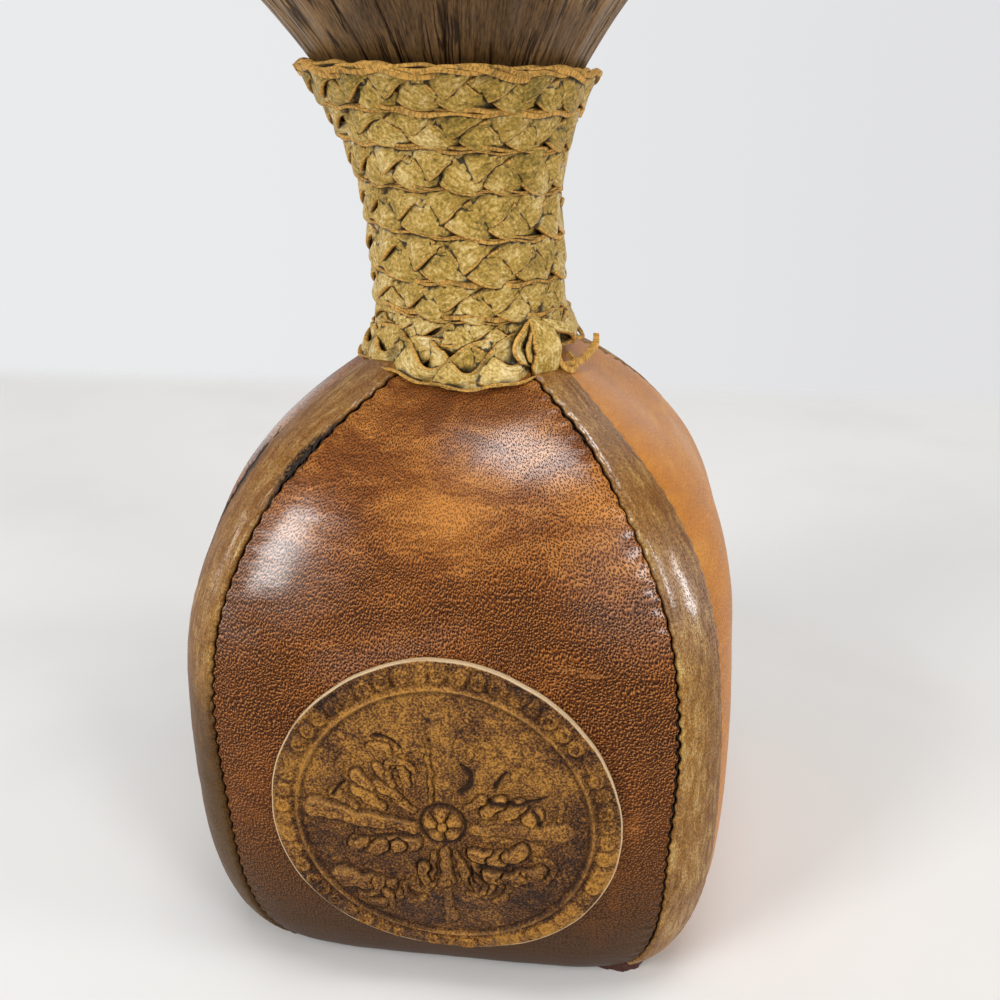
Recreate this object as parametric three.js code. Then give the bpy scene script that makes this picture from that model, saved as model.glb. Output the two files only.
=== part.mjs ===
import * as THREE from 'three';
import { LoftGeometry } from 'three/addons/geometries/LoftGeometry.js';

// Leather-wrapped decanter: a square glass bottle in a sewn leather jacket, with a braided neck and a stopper.
// Millimetres, +Z up. The origin is the centre of the resting face, and the medallion side faces -Y.

// Jacket body
const BODY_HALF_WIDTH = 58.3;
const BASE_HALF_WIDTH = 46.5;
const BELLY_HEIGHT = 48;
const BODY_HEIGHT = 129.6;
const HEEL_ROUNDING = 2.6;
const HEEL_FULLNESS = 1.35;
const SHOULDER_FALL = 3.6;
const SHOULDER_LEDGE = 0.4;
const SQUARENESS_BELLY = 5.5;
const SQUARENESS_SHOULDER = 3.9;
const SQUARENESS_FADE = 1.5;

// Leather and sewing
const LEATHER_THICKNESS = 2.2;
const SKIN_GAP = 0.3;
const BASE_THICKNESS = 2.6;
const BASE_EDGE_INSET = 1.2;
const BASE_EDGE_BEVEL = 0.7;
const STRIP_HALF_WIDTH_BASE = 8.2;
const STRIP_HALF_WIDTH_TOP = 5.2;
const SEAM_WIDTH = 1.3;
const THREAD_DIAMETER = 0.7;

// Medallion
const MEDALLION_RADIUS = 35.4;
const MEDALLION_CENTRE_HEIGHT = 50.4;
const MEDALLION_CENTRE_SHIFT = 1;
const MEDALLION_THICKNESS = 1.8;
const MEDALLION_RELIEF = 0.9;
const MEDALLION_BORDER_WIDTH = 6;
const MEDALLION_BOSS_RADIUS = 5;

// Glass
const GLASS_WALL = 4;
const GLASS_FLOOR = 5;
const HEEL_SETBACK = 4;
const BORE_RADIUS = 12;
const NECK_WALL = 3.5;
const NECK_STRAIGHT_LENGTH = 30.4;
const FLARE_LENGTH = 45;
const FLARE_SPREAD = 23.3;
const FLARE_POWER = 1.8;
const NECK_FOOT_HEIGHT = 9;
const NECK_FOOT_SPREAD = 2;
const NECK_LEAN = -0.06;

// Neck sleeve
const SLEEVE_THICKNESS = 1.4;
const SLEEVE_BOTTOM_LIFT = 1.6;
const HEM_DEPTH = 7;
const PLEAT_COUNT = 20;
const PLEAT_DEPTH = 0.6;

// Braid
const BRAID_THICKNESS = 3.2;
const BRAID_CLEARANCE = 0.5;
const BRAID_TURNS = 7.6;
const BRAID_ROW_GAP = 0.9;
const BRAID_BOTTOM_LIFT = 0.5;
const BRAID_TOP_BELOW_RIM = 14.5;
const BRAID_END_ANGLE = -52;
const TAIL_LENGTH = 10;
const TAIL_RISE = 4;
const TAIL_SPLAY = 2.5;
const TAIL_RADIUS = 1.3;
const TAIL_TIP_RADIUS = 0.6;

// Stopper
const CORK_CLEARANCE = 0.3;
const CORK_SEAT_ABOVE_FLARE = 5;
const CORK_BELOW_SEAT = 9;
const CORK_ABOVE_SEAT = 9;
const CORK_TAPER = 0.16;
const PIN_RADIUS = 3;
const PIN_CLEARANCE = 0.3;
const CORK_FLOOR = 6;
const PIN_DEPTH_IN_KNOB = 12;
const KNOB_COLLAR_RADIUS = 10;
const KNOB_COLLAR_HEIGHT = 4;
const KNOB_STEM_RADIUS = 6;
const KNOB_BALL_RADIUS = 15;
const KNOB_STEM_LENGTH = 26;

// Fineness of the faceted solids
const BODY_ROWS = 14;
const PANEL_STEPS = 6;
const STRIP_STEPS = 3;
const NECK_ROWS = 9;
const PLEAT_STEPS = 3;
const MEDALLION_STEPS = 36;
const BRAID_STEPS_PER_TURN = 24;
const STOPPER_STEPS = 32;
const THREAD_SIDES = 5;
const TAIL_SIDES = 8;
const TAIL_STEPS = 8;
const KNOB_STEPS = 8;
const MERIDIAN_STEPS = 200;

// Heights and radii that follow from the sizes above
const skinOffset = LEATHER_THICKNESS + SKIN_GAP;
const bodyFloor = BASE_THICKNESS + SKIN_GAP;
const glassNeckRadius = BORE_RADIUS + NECK_WALL;
const sleeveRadius = glassNeckRadius + SKIN_GAP + SLEEVE_THICKNESS;
const sleeveOffset = SKIN_GAP + SLEEVE_THICKNESS;
const shoulderTopHalfWidth = sleeveRadius + BRAID_CLEARANCE + BRAID_THICKNESS + SHOULDER_LEDGE;
const neckFoot = BODY_HEIGHT + SLEEVE_BOTTOM_LIFT;
const flareStart = BODY_HEIGHT + NECK_STRAIGHT_LENGTH;
const rimHeight = flareStart + FLARE_LENGTH;
const corkSeat = flareStart + CORK_SEAT_ABOVE_FLARE;
const TURN = 2 * Math.PI;
const QUARTER = TURN / 4;

// The jacket's outer surface: a superellipse in plan whose half width follows the body's profile
function bodyHalfWidth(z) {
  if (z < BELLY_HEIGHT) {
    const below = (BELLY_HEIGHT - z) / BELLY_HEIGHT;
    const swell = Math.pow(1 - Math.pow(below, HEEL_ROUNDING), 1 / HEEL_FULLNESS);
    return BASE_HALF_WIDTH + (BODY_HALF_WIDTH - BASE_HALF_WIDTH) * swell;
  }
  const above = (z - BELLY_HEIGHT) / (BODY_HEIGHT - BELLY_HEIGHT);
  return BODY_HALF_WIDTH - (BODY_HALF_WIDTH - shoulderTopHalfWidth) * Math.pow(above, SHOULDER_FALL);
}

function bodySquareness(z) {
  const above = Math.max(0, (z - BELLY_HEIGHT) / (BODY_HEIGHT - BELLY_HEIGHT));
  return THREE.MathUtils.lerp(SQUARENESS_BELLY, SQUARENESS_SHOULDER, Math.pow(above, SQUARENESS_FADE));
}

function bodyRadius(angle, z) {
  const n = bodySquareness(z);
  const c = Math.pow(Math.abs(Math.cos(angle)), n);
  const s = Math.pow(Math.abs(Math.sin(angle)), n);
  return bodyHalfWidth(z) / Math.pow(c + s, 1 / n);
}

function bodyPoint(angle, z) {
  const r = bodyRadius(angle, z);
  return new THREE.Vector3(r * Math.cos(angle), r * Math.sin(angle), z);
}

function bodyNormal(angle, z) {
  const step = 1e-3;
  const around = bodyPoint(angle + step, z).sub(bodyPoint(angle - step, z));
  const upward = bodyPoint(angle, z + step).sub(bodyPoint(angle, z - step));
  return around.cross(upward).normalize();
}

// A point at a depth below the jacket's outer surface; a negative depth stands proud of it
function jacketPoint(angle, z, depth) {
  return bodyPoint(angle, z).addScaledVector(bodyNormal(angle, z), -depth);
}

// Heights of the jacket's rows, closer together at the heel and at the shoulder
const bodyHeights = Array.from({ length: BODY_ROWS + 1 }, (_, i) => {
  const along = (1 - Math.cos((Math.PI * i) / BODY_ROWS)) / 2;
  return THREE.MathUtils.lerp(bodyFloor, BODY_HEIGHT, along);
});

// Corner strips: half of a strip's angle and of a panel's cut-back at a height
function stripHalfWidth(z) {
  const down = 1 - z / BODY_HEIGHT;
  return STRIP_HALF_WIDTH_TOP + (STRIP_HALF_WIDTH_BASE - STRIP_HALF_WIDTH_TOP) * down * down;
}

function cornerAngle(corner, distance, z) {
  const middle = (corner + 0.5) * QUARTER;
  return middle + distance / bodyRadius(middle, z);
}

function stripAngles(corner, z) {
  const half = stripHalfWidth(z);
  return spread(cornerAngle(corner, -half, z), cornerAngle(corner, half, z), STRIP_STEPS);
}

function panelAngles(corner, z) {
  const edge = stripHalfWidth(z) + SEAM_WIDTH;
  return spread(cornerAngle(corner, edge, z), cornerAngle(corner + 1, -edge, z), PANEL_STEPS);
}

function spread(from, to, steps) {
  return Array.from({ length: steps + 1 }, (_, i) => THREE.MathUtils.lerp(from, to, i / steps));
}

// Neck: radii of the sleeve's outer surface, and the sideways lean of the neck above the shoulder
function sleeveOuterRadius(z) {
  const foot = Math.min(1, Math.max(0, 1 - (z - neckFoot) / NECK_FOOT_HEIGHT));
  const flare = Math.min(1, Math.max(0, (z - flareStart) / FLARE_LENGTH));
  return sleeveRadius + NECK_FOOT_SPREAD * foot * foot + FLARE_SPREAD * Math.pow(flare, FLARE_POWER);
}

function glassOuterRadius(z) {
  return sleeveOuterRadius(z) - sleeveOffset;
}

function boreRadius(z) {
  return glassOuterRadius(z) - NECK_WALL;
}

function neckCentre(z) {
  return NECK_LEAN * Math.max(0, z - BODY_HEIGHT);
}

function neckPoint(angle, radius, z) {
  return new THREE.Vector3(neckCentre(z) + radius * Math.cos(angle), radius * Math.sin(angle), z);
}

// Heights of the neck's rows: the foot, then the flare
const footHeights = spread(neckFoot, neckFoot + NECK_FOOT_HEIGHT, 2);
const flareHeights = spread(flareStart, rimHeight, NECK_ROWS - 3);
const neckHeights = [...footHeights, ...flareHeights];

// Materials
function finish(color, roughness, metalness = 0) {
  return new THREE.MeshStandardMaterial({ color, roughness, metalness });
}

const chestnutLeather = finish(0x7a3f20, 0.45);
const tanLeather = finish(0xa5662f, 0.45);
const stripLeather = finish(0x84602f, 0.6);
const baseLeather = finish(0x6e2f1c, 0.7);
const medallionLeather = finish(0x75501f, 0.6);
const sleeveLeather = finish(0x5f4a3a, 0.6);
const braidLeather = finish(0x98802f, 0.75);
const waxedThread = finish(0x241711, 0.8);
const clearGlass = finish(0xbfd0c8, 0.05);
const naturalCork = finish(0xb98d5b, 0.9);
const turnedWood = finish(0x5a3a22, 0.5);
const dowelWood = finish(0xc9a56f, 0.7);

// A closed skin over a stack of rings, drawn together to a point at each end
function closedSkin(startPole, rings, endPole) {
  const count = rings[0].length;
  const points = [startPole, ...rings.flat(), endPole];
  const index = [];
  const at = (ring, i) => 1 + ring * count + (i % count);
  for (let i = 0; i < count; i++) {
    index.push(0, at(0, i + 1), at(0, i));
    for (let ring = 0; ring < rings.length - 1; ring++) {
      index.push(at(ring, i), at(ring, i + 1), at(ring + 1, i));
      index.push(at(ring, i + 1), at(ring + 1, i + 1), at(ring + 1, i));
    }
    index.push(at(rings.length - 1, i), at(rings.length - 1, i + 1), points.length - 1);
  }
  const geometry = new THREE.BufferGeometry().setFromPoints(points);
  geometry.setIndex(index);
  geometry.computeVertexNormals();
  return geometry;
}

// A sewn skin: each row is an outer arc and, a leather thickness below it, the same arc back again
function sewnSkin(anglesAt) {
  const sections = bodyHeights.map((z) => {
    const angles = anglesAt(z);
    const outer = angles.map((angle) => jacketPoint(angle, z, 0));
    const inner = angles.map((angle) => jacketPoint(angle, z, LEATHER_THICKNESS));
    return [...outer, ...inner.reverse()];
  });
  return new LoftGeometry(sections, { capStart: true, capEnd: true });
}

// Seam thread lying in the groove between a strip and a panel, half sunk in the leather
function seamThread(corner, side) {
  const sections = bodyHeights.map((z) => {
    const angle = cornerAngle(corner, side * (stripHalfWidth(z) + SEAM_WIDTH / 2), z);
    const normal = bodyNormal(angle, z);
    const along = bodyPoint(angle, z + 0.1).sub(bodyPoint(angle, z - 0.1)).normalize();
    const across = along.cross(normal).normalize();
    const middle = jacketPoint(angle, z, LEATHER_THICKNESS / 2);
    return Array.from({ length: THREAD_SIDES }, (_, i) => {
      const turn = (TURN * i) / THREAD_SIDES;
      const point = middle.clone().addScaledVector(normal, (THREAD_DIAMETER / 2) * Math.cos(turn));
      return point.addScaledVector(across, (THREAD_DIAMETER / 2) * Math.sin(turn));
    });
  });
  return new LoftGeometry(sections, { capStart: true, capEnd: true });
}

// Base leather: a flat plate under the bottle, its bevelled edge just inside the heel of the jacket
function basePlate() {
  const outline = (z, inset) =>
    ringAngles(bodyFloor).map((angle) => {
      const r = bodyRadius(angle, bodyFloor) - BASE_EDGE_INSET - inset;
      return new THREE.Vector3(r * Math.cos(angle), r * Math.sin(angle), z);
    });
  const sections = [outline(0, BASE_EDGE_BEVEL), outline(BASE_EDGE_BEVEL, 0), outline(BASE_THICKNESS, 0)];
  return new LoftGeometry(sections, { capStart: true, capEnd: true });
}

// Angles of a full ring that meets every edge of the strips and panels at a height
function ringAngles(z) {
  return [0, 1, 2, 3].flatMap((corner) => [...stripAngles(corner, z), ...panelAngles(corner, z)]);
}

// Glass bottle: the outside from heel to lip, then the inside back down to the floor
function glassBottle() {
  const count = ringAngles(0).length;
  const first = cornerAngle(0, -stripHalfWidth(BODY_HEIGHT), BODY_HEIGHT);
  const neckAngles = Array.from({ length: count }, (_, i) => first + (TURN * i) / count);
  const bodyRing = (depth) => (z) => ringAngles(z).map((angle) => jacketPoint(angle, z, depth));
  const neckRing = (radiusAt) => (z) => neckAngles.map((angle) => neckPoint(angle, radiusAt(z), z));
  const flatRing = (ring, inset, z) =>
    ring.map((point) => {
      const r = Math.hypot(point.x, point.y);
      const keep = (r - inset) / r;
      return new THREE.Vector3(point.x * keep, point.y * keep, z);
    });
  const outside = bodyHeights.map(bodyRing(skinOffset));
  const insideHeights = bodyHeights.filter((_, i) => i % 2 === 0 && i > 0);
  const inside = insideHeights.map(bodyRing(skinOffset + GLASS_WALL));
  const floorHeight = bodyFloor + GLASS_FLOOR;
  const lipHeight = rimHeight + SKIN_GAP;
  const lip = neckRing((z) => glassOuterRadius(rimHeight) - NECK_WALL / 2)(lipHeight);
  const rings = [
    flatRing(outside[0], HEEL_SETBACK, bodyFloor),
    ...outside,
    ...neckHeights.map(neckRing(glassOuterRadius)),
    lip,
    ...neckHeights.map(neckRing(boreRadius)).reverse(),
    ...inside.reverse(),
  ];
  rings.push(flatRing(rings.at(-1), HEEL_SETBACK, floorHeight));
  return closedSkin(
    new THREE.Vector3(0, 0, bodyFloor),
    rings,
    new THREE.Vector3(0, 0, floorHeight),
  );
}

// Neck sleeve: pleated outside, folded over the lip and hemmed inside the mouth
function neckSleeve() {
  const count = PLEAT_COUNT * PLEAT_STEPS;
  const ring = (radius, z, pleat) =>
    Array.from({ length: count }, (_, i) => {
      const fold = i % PLEAT_STEPS === 0 ? pleat : 0;
      return neckPoint((TURN * i) / count, radius - fold, z);
    });
  const pleatAt = (z) => (z > flareStart ? PLEAT_DEPTH : 0);
  const foldTop = rimHeight + sleeveOffset + SKIN_GAP;
  const hemBottom = rimHeight - HEM_DEPTH;
  const outer = neckHeights.map((z) => ring(sleeveOuterRadius(z), z, pleatAt(z)));
  const inner = neckHeights.map((z) => ring(glassOuterRadius(z) + SKIN_GAP, z, 0));
  const hemOuter = (z) => boreRadius(z) - SKIN_GAP;
  const lipMiddle = glassOuterRadius(rimHeight) - NECK_WALL / 2;
  const sections = [
    ...outer,
    ring(lipMiddle + NECK_WALL / 2, foldTop, 0),
    ring(lipMiddle - NECK_WALL / 2, foldTop, 0),
    ring(hemOuter(rimHeight) - SLEEVE_THICKNESS, rimHeight, 0),
    ring(hemOuter(hemBottom) - SLEEVE_THICKNESS, hemBottom, 0),
    ring(hemOuter(hemBottom), hemBottom, 0),
    ring(hemOuter(rimHeight), rimHeight, 0),
    ring(lipMiddle, rimHeight + 3 * SKIN_GAP, 0),
    ...inner.reverse(),
  ];
  sections.push(sections[0]);
  return new LoftGeometry(sections);
}

// Medallion: a disc bent to the front panel, with a raised border, a field and a central boss
function medallion() {
  const place = (radius, turn, lift) => {
    const x = MEDALLION_CENTRE_SHIFT + radius * Math.cos(turn);
    const z = MEDALLION_CENTRE_HEIGHT + radius * Math.sin(turn);
    const n = bodySquareness(z);
    const half = bodyHalfWidth(z);
    const y = -Math.pow(Math.pow(half, n) - Math.pow(Math.abs(x), n), 1 / n);
    return jacketPoint(Math.atan2(y, x), z, -(SKIN_GAP + lift));
  };
  const ring = (radius, lift) =>
    Array.from({ length: MEDALLION_STEPS }, (_, i) => place(radius, (TURN * i) / MEDALLION_STEPS, lift));
  const raised = MEDALLION_THICKNESS + MEDALLION_RELIEF;
  const field = MEDALLION_RADIUS - MEDALLION_BORDER_WIDTH;
  const slope = MEDALLION_RELIEF;
  const backRadii = spread(MEDALLION_RADIUS / 3, MEDALLION_RADIUS, 2);
  const rings = [
    ...backRadii.map((radius) => ring(radius, 0)),
    ring(MEDALLION_RADIUS, MEDALLION_THICKNESS),
    ring(MEDALLION_RADIUS - slope, raised),
    ring(field, raised),
    ring(field - slope, MEDALLION_THICKNESS),
    ring((field + MEDALLION_BOSS_RADIUS) / 2, MEDALLION_THICKNESS),
    ring(MEDALLION_BOSS_RADIUS + slope, MEDALLION_THICKNESS),
    ring(MEDALLION_BOSS_RADIUS, raised),
  ];
  return closedSkin(place(0, 0, 0), rings, place(0, 0, raised));
}

// Meridian along the sleeve's outer surface, with its length, on which the braid's rows are wound
const braidBottom = BODY_HEIGHT + BRAID_BOTTOM_LIFT;
const braidTop = rimHeight - BRAID_TOP_BELOW_RIM;
const meridian = [];
for (const z of spread(braidBottom, braidTop, MERIDIAN_STEPS)) {
  const before = meridian.at(-1);
  const r = sleeveOuterRadius(z);
  const length = before ? before.length + Math.hypot(r - before.r, z - before.z) : 0;
  meridian.push({ r, z, length });
}
const braidLength = meridian.at(-1).length;
const braidPitch = (braidLength + BRAID_ROW_GAP) / (BRAID_TURNS + 1);
const braidWidth = braidPitch - BRAID_ROW_GAP;

function meridianAt(length) {
  const next = Math.max(1, meridian.findIndex((place) => place.length >= length));
  const low = meridian[next - 1];
  const high = meridian[next];
  const t = (length - low.length) / (high.length - low.length);
  const slope = Math.atan2(high.r - low.r, high.z - low.z);
  return { r: THREE.MathUtils.lerp(low.r, high.r, t), z: THREE.MathUtils.lerp(low.z, high.z, t), slope };
}

// Flat six-sided strand across the winding: up along the sleeve, and out from it
const braidSection = [
  [-0.5, 0],
  [-0.3, 0.5],
  [0.3, 0.5],
  [0.5, 0],
  [0.3, -0.5],
  [-0.3, -0.5],
];

// The frame of the winding after a number of turns; it climbs clockwise as seen from above
function braidFrame(turns) {
  const angle = THREE.MathUtils.degToRad(BRAID_END_ANGLE) - TURN * turns;
  const { r, z, slope } = meridianAt(braidWidth / 2 + braidPitch * turns);
  const outward = new THREE.Vector3(Math.cos(angle), Math.sin(angle), 0);
  const up = outward.clone().multiplyScalar(Math.sin(slope)).add(new THREE.Vector3(0, 0, Math.cos(slope)));
  const out = outward.clone().multiplyScalar(Math.cos(slope)).add(new THREE.Vector3(0, 0, -Math.sin(slope)));
  const middle = neckPoint(angle, r, z).addScaledVector(out, BRAID_CLEARANCE + BRAID_THICKNESS / 2);
  const forward = new THREE.Vector3(Math.sin(angle), -Math.cos(angle), 0);
  return { middle, up, out, forward };
}

function braidRing({ middle, up, out }) {
  return braidSection.map(([u, v]) =>
    middle.clone().addScaledVector(up, u * braidWidth).addScaledVector(out, v * BRAID_THICKNESS),
  );
}

function runStraight(frame, distance) {
  return { ...frame, middle: frame.middle.clone().addScaledVector(frame.forward, distance) };
}

const braidSteps = Math.round(BRAID_TURNS * BRAID_STEPS_PER_TURN);
const braidFrames = Array.from({ length: braidSteps + 1 }, (_, i) => braidFrame((BRAID_TURNS * i) / braidSteps));
const braidStart = runStraight(braidFrames[0], -BRAID_THICKNESS);
const braidFinish = runStraight(braidFrames.at(-1), BRAID_THICKNESS);
const braidRings = [braidStart, ...braidFrames, braidFinish].map(braidRing);

// Least distance between points of the winding that are at least half a turn apart
function leastGapBetweenTurns(rings) {
  const apart = BRAID_STEPS_PER_TURN / 2;
  let least = Infinity;
  rings.forEach((ring, i) => {
    for (const other of rings.slice(i + apart)) {
      for (const point of ring) {
        for (const match of other) least = Math.min(least, point.distanceTo(match));
      }
    }
  });
  return least;
}

// Loose strand at the braid's lower end, standing off to the side and up to a thin tip
function braidTail() {
  const { middle, out, forward } = braidStart;
  const onward = forward.clone().negate();
  const up = new THREE.Vector3(0, 0, 1);
  const start = middle.clone().addScaledVector(onward, SKIN_GAP);
  const route = new THREE.CatmullRomCurve3([
    start,
    start.clone().addScaledVector(onward, TAIL_LENGTH / 3),
    start.clone().addScaledVector(onward, (2 * TAIL_LENGTH) / 3).addScaledVector(out, TAIL_SPLAY / 2),
    start.clone().addScaledVector(onward, TAIL_LENGTH).addScaledVector(out, TAIL_SPLAY)
      .addScaledVector(up, TAIL_RISE),
  ]);
  const frames = route.computeFrenetFrames(TAIL_STEPS);
  const sections = spread(0, 1, TAIL_STEPS).map((t, i) => {
    const radius = THREE.MathUtils.lerp(TAIL_RADIUS, TAIL_TIP_RADIUS, t);
    return Array.from({ length: TAIL_SIDES }, (_, k) => {
      const turn = (TURN * k) / TAIL_SIDES;
      return route.getPoint(t)
        .addScaledVector(frames.normals[i], radius * Math.cos(turn))
        .addScaledVector(frames.binormals[i], radius * Math.sin(turn));
    });
  });
  return new LoftGeometry(sections, { capStart: true, capEnd: true });
}

// A piece turned about the neck's leaning axis, from a profile of radius and height pairs
function turnedOnNeckAxis(profile) {
  const points = profile.map(([r, z]) => new THREE.Vector2(r, z));
  const geometry = new THREE.LatheGeometry(points, STOPPER_STEPS);
  geometry.rotateX(QUARTER);
  geometry.applyMatrix4(new THREE.Matrix4().makeShear(0, 0, 0, 0, NECK_LEAN, 0));
  geometry.translate(-NECK_LEAN * BODY_HEIGHT, 0, 0);
  return geometry;
}

// Stopper: a tapered cork seated at the start of the flare, a dowel, and a turned knob above it
const corkSeatRadius = boreRadius(corkSeat) - CORK_CLEARANCE;
const corkBottom = corkSeat - CORK_BELOW_SEAT;
const corkTop = corkSeat + CORK_ABOVE_SEAT;
const pinHole = PIN_RADIUS + PIN_CLEARANCE;
const pinBottom = corkBottom + CORK_FLOOR;
const knobBottom = corkTop + PIN_CLEARANCE;
const pinTop = knobBottom + PIN_DEPTH_IN_KNOB;

function stopperCork() {
  const bottomRadius = corkSeatRadius - CORK_TAPER * CORK_BELOW_SEAT;
  const topRadius = corkSeatRadius + CORK_TAPER * CORK_ABOVE_SEAT;
  return turnedOnNeckAxis([
    [0, corkBottom],
    [bottomRadius, corkBottom],
    [topRadius, corkTop],
    [pinHole, corkTop],
    [pinHole, pinBottom - PIN_CLEARANCE],
    [0, pinBottom - PIN_CLEARANCE],
  ]);
}

function stopperPin() {
  return turnedOnNeckAxis([
    [0, pinBottom],
    [PIN_RADIUS, pinBottom],
    [PIN_RADIUS, pinTop],
    [0, pinTop],
  ]);
}

function stopperKnob() {
  const collarTop = knobBottom + KNOB_COLLAR_HEIGHT;
  const stemTop = knobBottom + KNOB_STEM_LENGTH;
  const neckAngle = Math.asin(KNOB_STEM_RADIUS / KNOB_BALL_RADIUS);
  const ballCentre = stemTop + KNOB_BALL_RADIUS * Math.cos(neckAngle);
  const ball = spread(Math.PI - neckAngle, 0, KNOB_STEPS).map((tilt) => [
    KNOB_BALL_RADIUS * Math.sin(tilt),
    ballCentre + KNOB_BALL_RADIUS * Math.cos(tilt),
  ]);
  ball[ball.length - 1][0] = 0;
  return turnedOnNeckAxis([
    [0, pinTop + PIN_CLEARANCE],
    [pinHole, pinTop + PIN_CLEARANCE],
    [pinHole, knobBottom],
    [KNOB_COLLAR_RADIUS, knobBottom],
    [KNOB_COLLAR_RADIUS, collarTop],
    [KNOB_STEM_RADIUS, collarTop + KNOB_COLLAR_HEIGHT],
    ...ball,
  ]);
}

// Assembly
const decanter = new THREE.Group();
decanter.name = 'leather_wrapped_decanter';

function add(parent, name, geometry, material) {
  const mesh = new THREE.Mesh(geometry, material);
  mesh.name = name;
  parent.add(mesh);
}

const bottle = new THREE.Group();
add(bottle, 'glass_bottle', glassBottle(), clearGlass);
add(bottle, 'base_patch', basePlate(), baseLeather);

// Corner 0 lies between the right and back sides; going round, each corner is followed by its panel
const sides = [
  { strip: 'back_right_strip', panel: 'back_panel', leather: tanLeather },
  { strip: 'back_left_strip', panel: 'left_panel', leather: chestnutLeather },
  { strip: 'front_left_strip', panel: 'front_panel', leather: chestnutLeather },
  { strip: 'front_right_strip', panel: 'right_panel', leather: tanLeather },
];
sides.forEach(({ strip, panel, leather }, corner) => {
  add(bottle, strip, sewnSkin((z) => stripAngles(corner, z)), stripLeather);
  add(bottle, panel, sewnSkin((z) => panelAngles(corner, z)), leather);
  add(bottle, `${strip}_seam_1`, seamThread(corner, -1), waxedThread);
  add(bottle, `${strip}_seam_2`, seamThread(corner, 1), waxedThread);
});

add(bottle, 'medallion', medallion(), medallionLeather);
add(bottle, 'neck_sleeve', neckSleeve(), sleeveLeather);
add(bottle, 'neck_braid', new LoftGeometry(braidRings, { capStart: true, capEnd: true }), braidLeather);
add(bottle, 'braid_tail', braidTail(), braidLeather);

const stopper = new THREE.Group();
add(stopper, 'stopper_cork', stopperCork(), naturalCork);
add(stopper, 'stopper_pin', stopperPin(), dowelWood);
add(stopper, 'stopper_knob', stopperKnob(), turnedWood);

decanter.add(bottle, stopper);

console.log(`neck_braid: least gap between its turns ${leastGapBetweenTurns(braidRings).toFixed(2)} mm`);

export default decanter;
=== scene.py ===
import itertools
import math

import bpy
import numpy as np
from mathutils import Matrix, Vector
from mathutils.bvhtree import BVHTree


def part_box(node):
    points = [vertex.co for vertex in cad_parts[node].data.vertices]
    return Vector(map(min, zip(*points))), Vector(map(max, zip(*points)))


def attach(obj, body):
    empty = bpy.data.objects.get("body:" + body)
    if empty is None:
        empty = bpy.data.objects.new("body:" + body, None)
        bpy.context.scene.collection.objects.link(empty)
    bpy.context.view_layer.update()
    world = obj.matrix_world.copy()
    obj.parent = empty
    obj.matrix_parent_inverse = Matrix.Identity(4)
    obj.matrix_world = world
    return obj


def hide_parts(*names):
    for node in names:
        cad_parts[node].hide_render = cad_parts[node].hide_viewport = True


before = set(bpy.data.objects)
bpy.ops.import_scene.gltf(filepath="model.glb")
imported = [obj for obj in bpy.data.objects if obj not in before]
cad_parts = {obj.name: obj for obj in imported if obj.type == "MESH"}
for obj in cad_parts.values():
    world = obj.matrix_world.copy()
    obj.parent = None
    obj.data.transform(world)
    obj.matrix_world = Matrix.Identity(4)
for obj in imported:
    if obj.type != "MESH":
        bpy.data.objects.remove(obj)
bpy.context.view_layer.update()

bl_info = {
    "name": "Leather-Wrapped Decanter",
    "version": (1, 0, 0),
    "blender": (4, 5, 0),
    "location": "View3D > Sidebar > Decanter",
    "description": "Dresses a square glass decanter in sewn leather, a braided neck and a turned stopper",
    "category": "Object",
}

MM = 0.001
TURN = 2 * math.pi
QUARTER = TURN / 4
BLACK = (0.0, 0.0, 0.0, 1.0)

# Size of one unit of a piece's UV chart
CHART = 10 * MM

# Shape of the body's profile: how round the heel is, how full, how late the shoulder falls
HEEL_ROUNDING = 2.6
HEEL_FULLNESS = 1.35
SHOULDER_FALL = 3.6
SQUARENESS_BELLY = 5.5
SQUARENESS_SHOULDER = 3.9
SQUARENESS_FADE = 1.5

# How the leather runs on over the shoulder under the braid: its length, its slope and how the slope fades
TUCK_LENGTH = 3.2 * MM
TUCK_SLOPE = 0.6
TUCK_FADE = 90.0

# Corner 0 lies between the right and back sides; going round, each corner is followed by its panel
STRIPS = ("back_right_strip", "back_left_strip", "front_left_strip", "front_right_strip")
PANELS = ("back_panel", "left_panel", "front_panel", "right_panel")
TAN_PANELS = ("back_panel", "right_panel")

# Seams are named by corner and side. Tight ones lie over the panel instead of leaving a groove
TIGHT_SEAMS = ((3, 1), (2, -1))
WIDENED_SEAM = (2, -1)

# Seams that the cutter's hand moved away from or towards their corner at the shoulder, in millimetres
SHOULDER_CUTS = {(3, -1): -2.0, (2, -1): 2.4}

# Seams that have come apart: middle and half length of the stretch up the side, in millimetres
FRAYED_SEAMS = {(2, 1): (123, 9), (2, -1): (116, 10)}

# Loose fibres on the frayed corner: side, middle and spread in millimetres, count
FRAYED_CORNER = 2
FIBRES = ((-1, 116, 9, 90), (1, 123, 8, 60))

# Rows of points on a panel, on a strip and along a seam, and how far from a stitch its direction is read
PANEL_ROWS, STRIP_ROWS, SEAM_ROWS, SEAM_REACH = 300, 340, 1600, 12

# Columns of points along each edge of a panel and between its edges, round the disc and round the sleeve
PANEL_EDGE_COLUMNS, PANEL_MIDDLE_COLUMNS, DISC_COLUMNS, SLEEVE_COLUMNS = 17, 56, 481, 961

# Steps in which the body's side, the sleeve's outside and the braid's course are measured
SIDE_STEPS, MERIDIAN_STEPS, COURSE_STEPS = 4000, 1500, 12000

# Size and depth of the slow hollows of sewn leather, of a strip's ripples and of a strap's dents
HOLLOWS = (26 * MM, 0.9 * MM)
RIPPLES = (5 * MM, 0.25 * MM)
STRAP_DENT = 3.5 * MM

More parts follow.
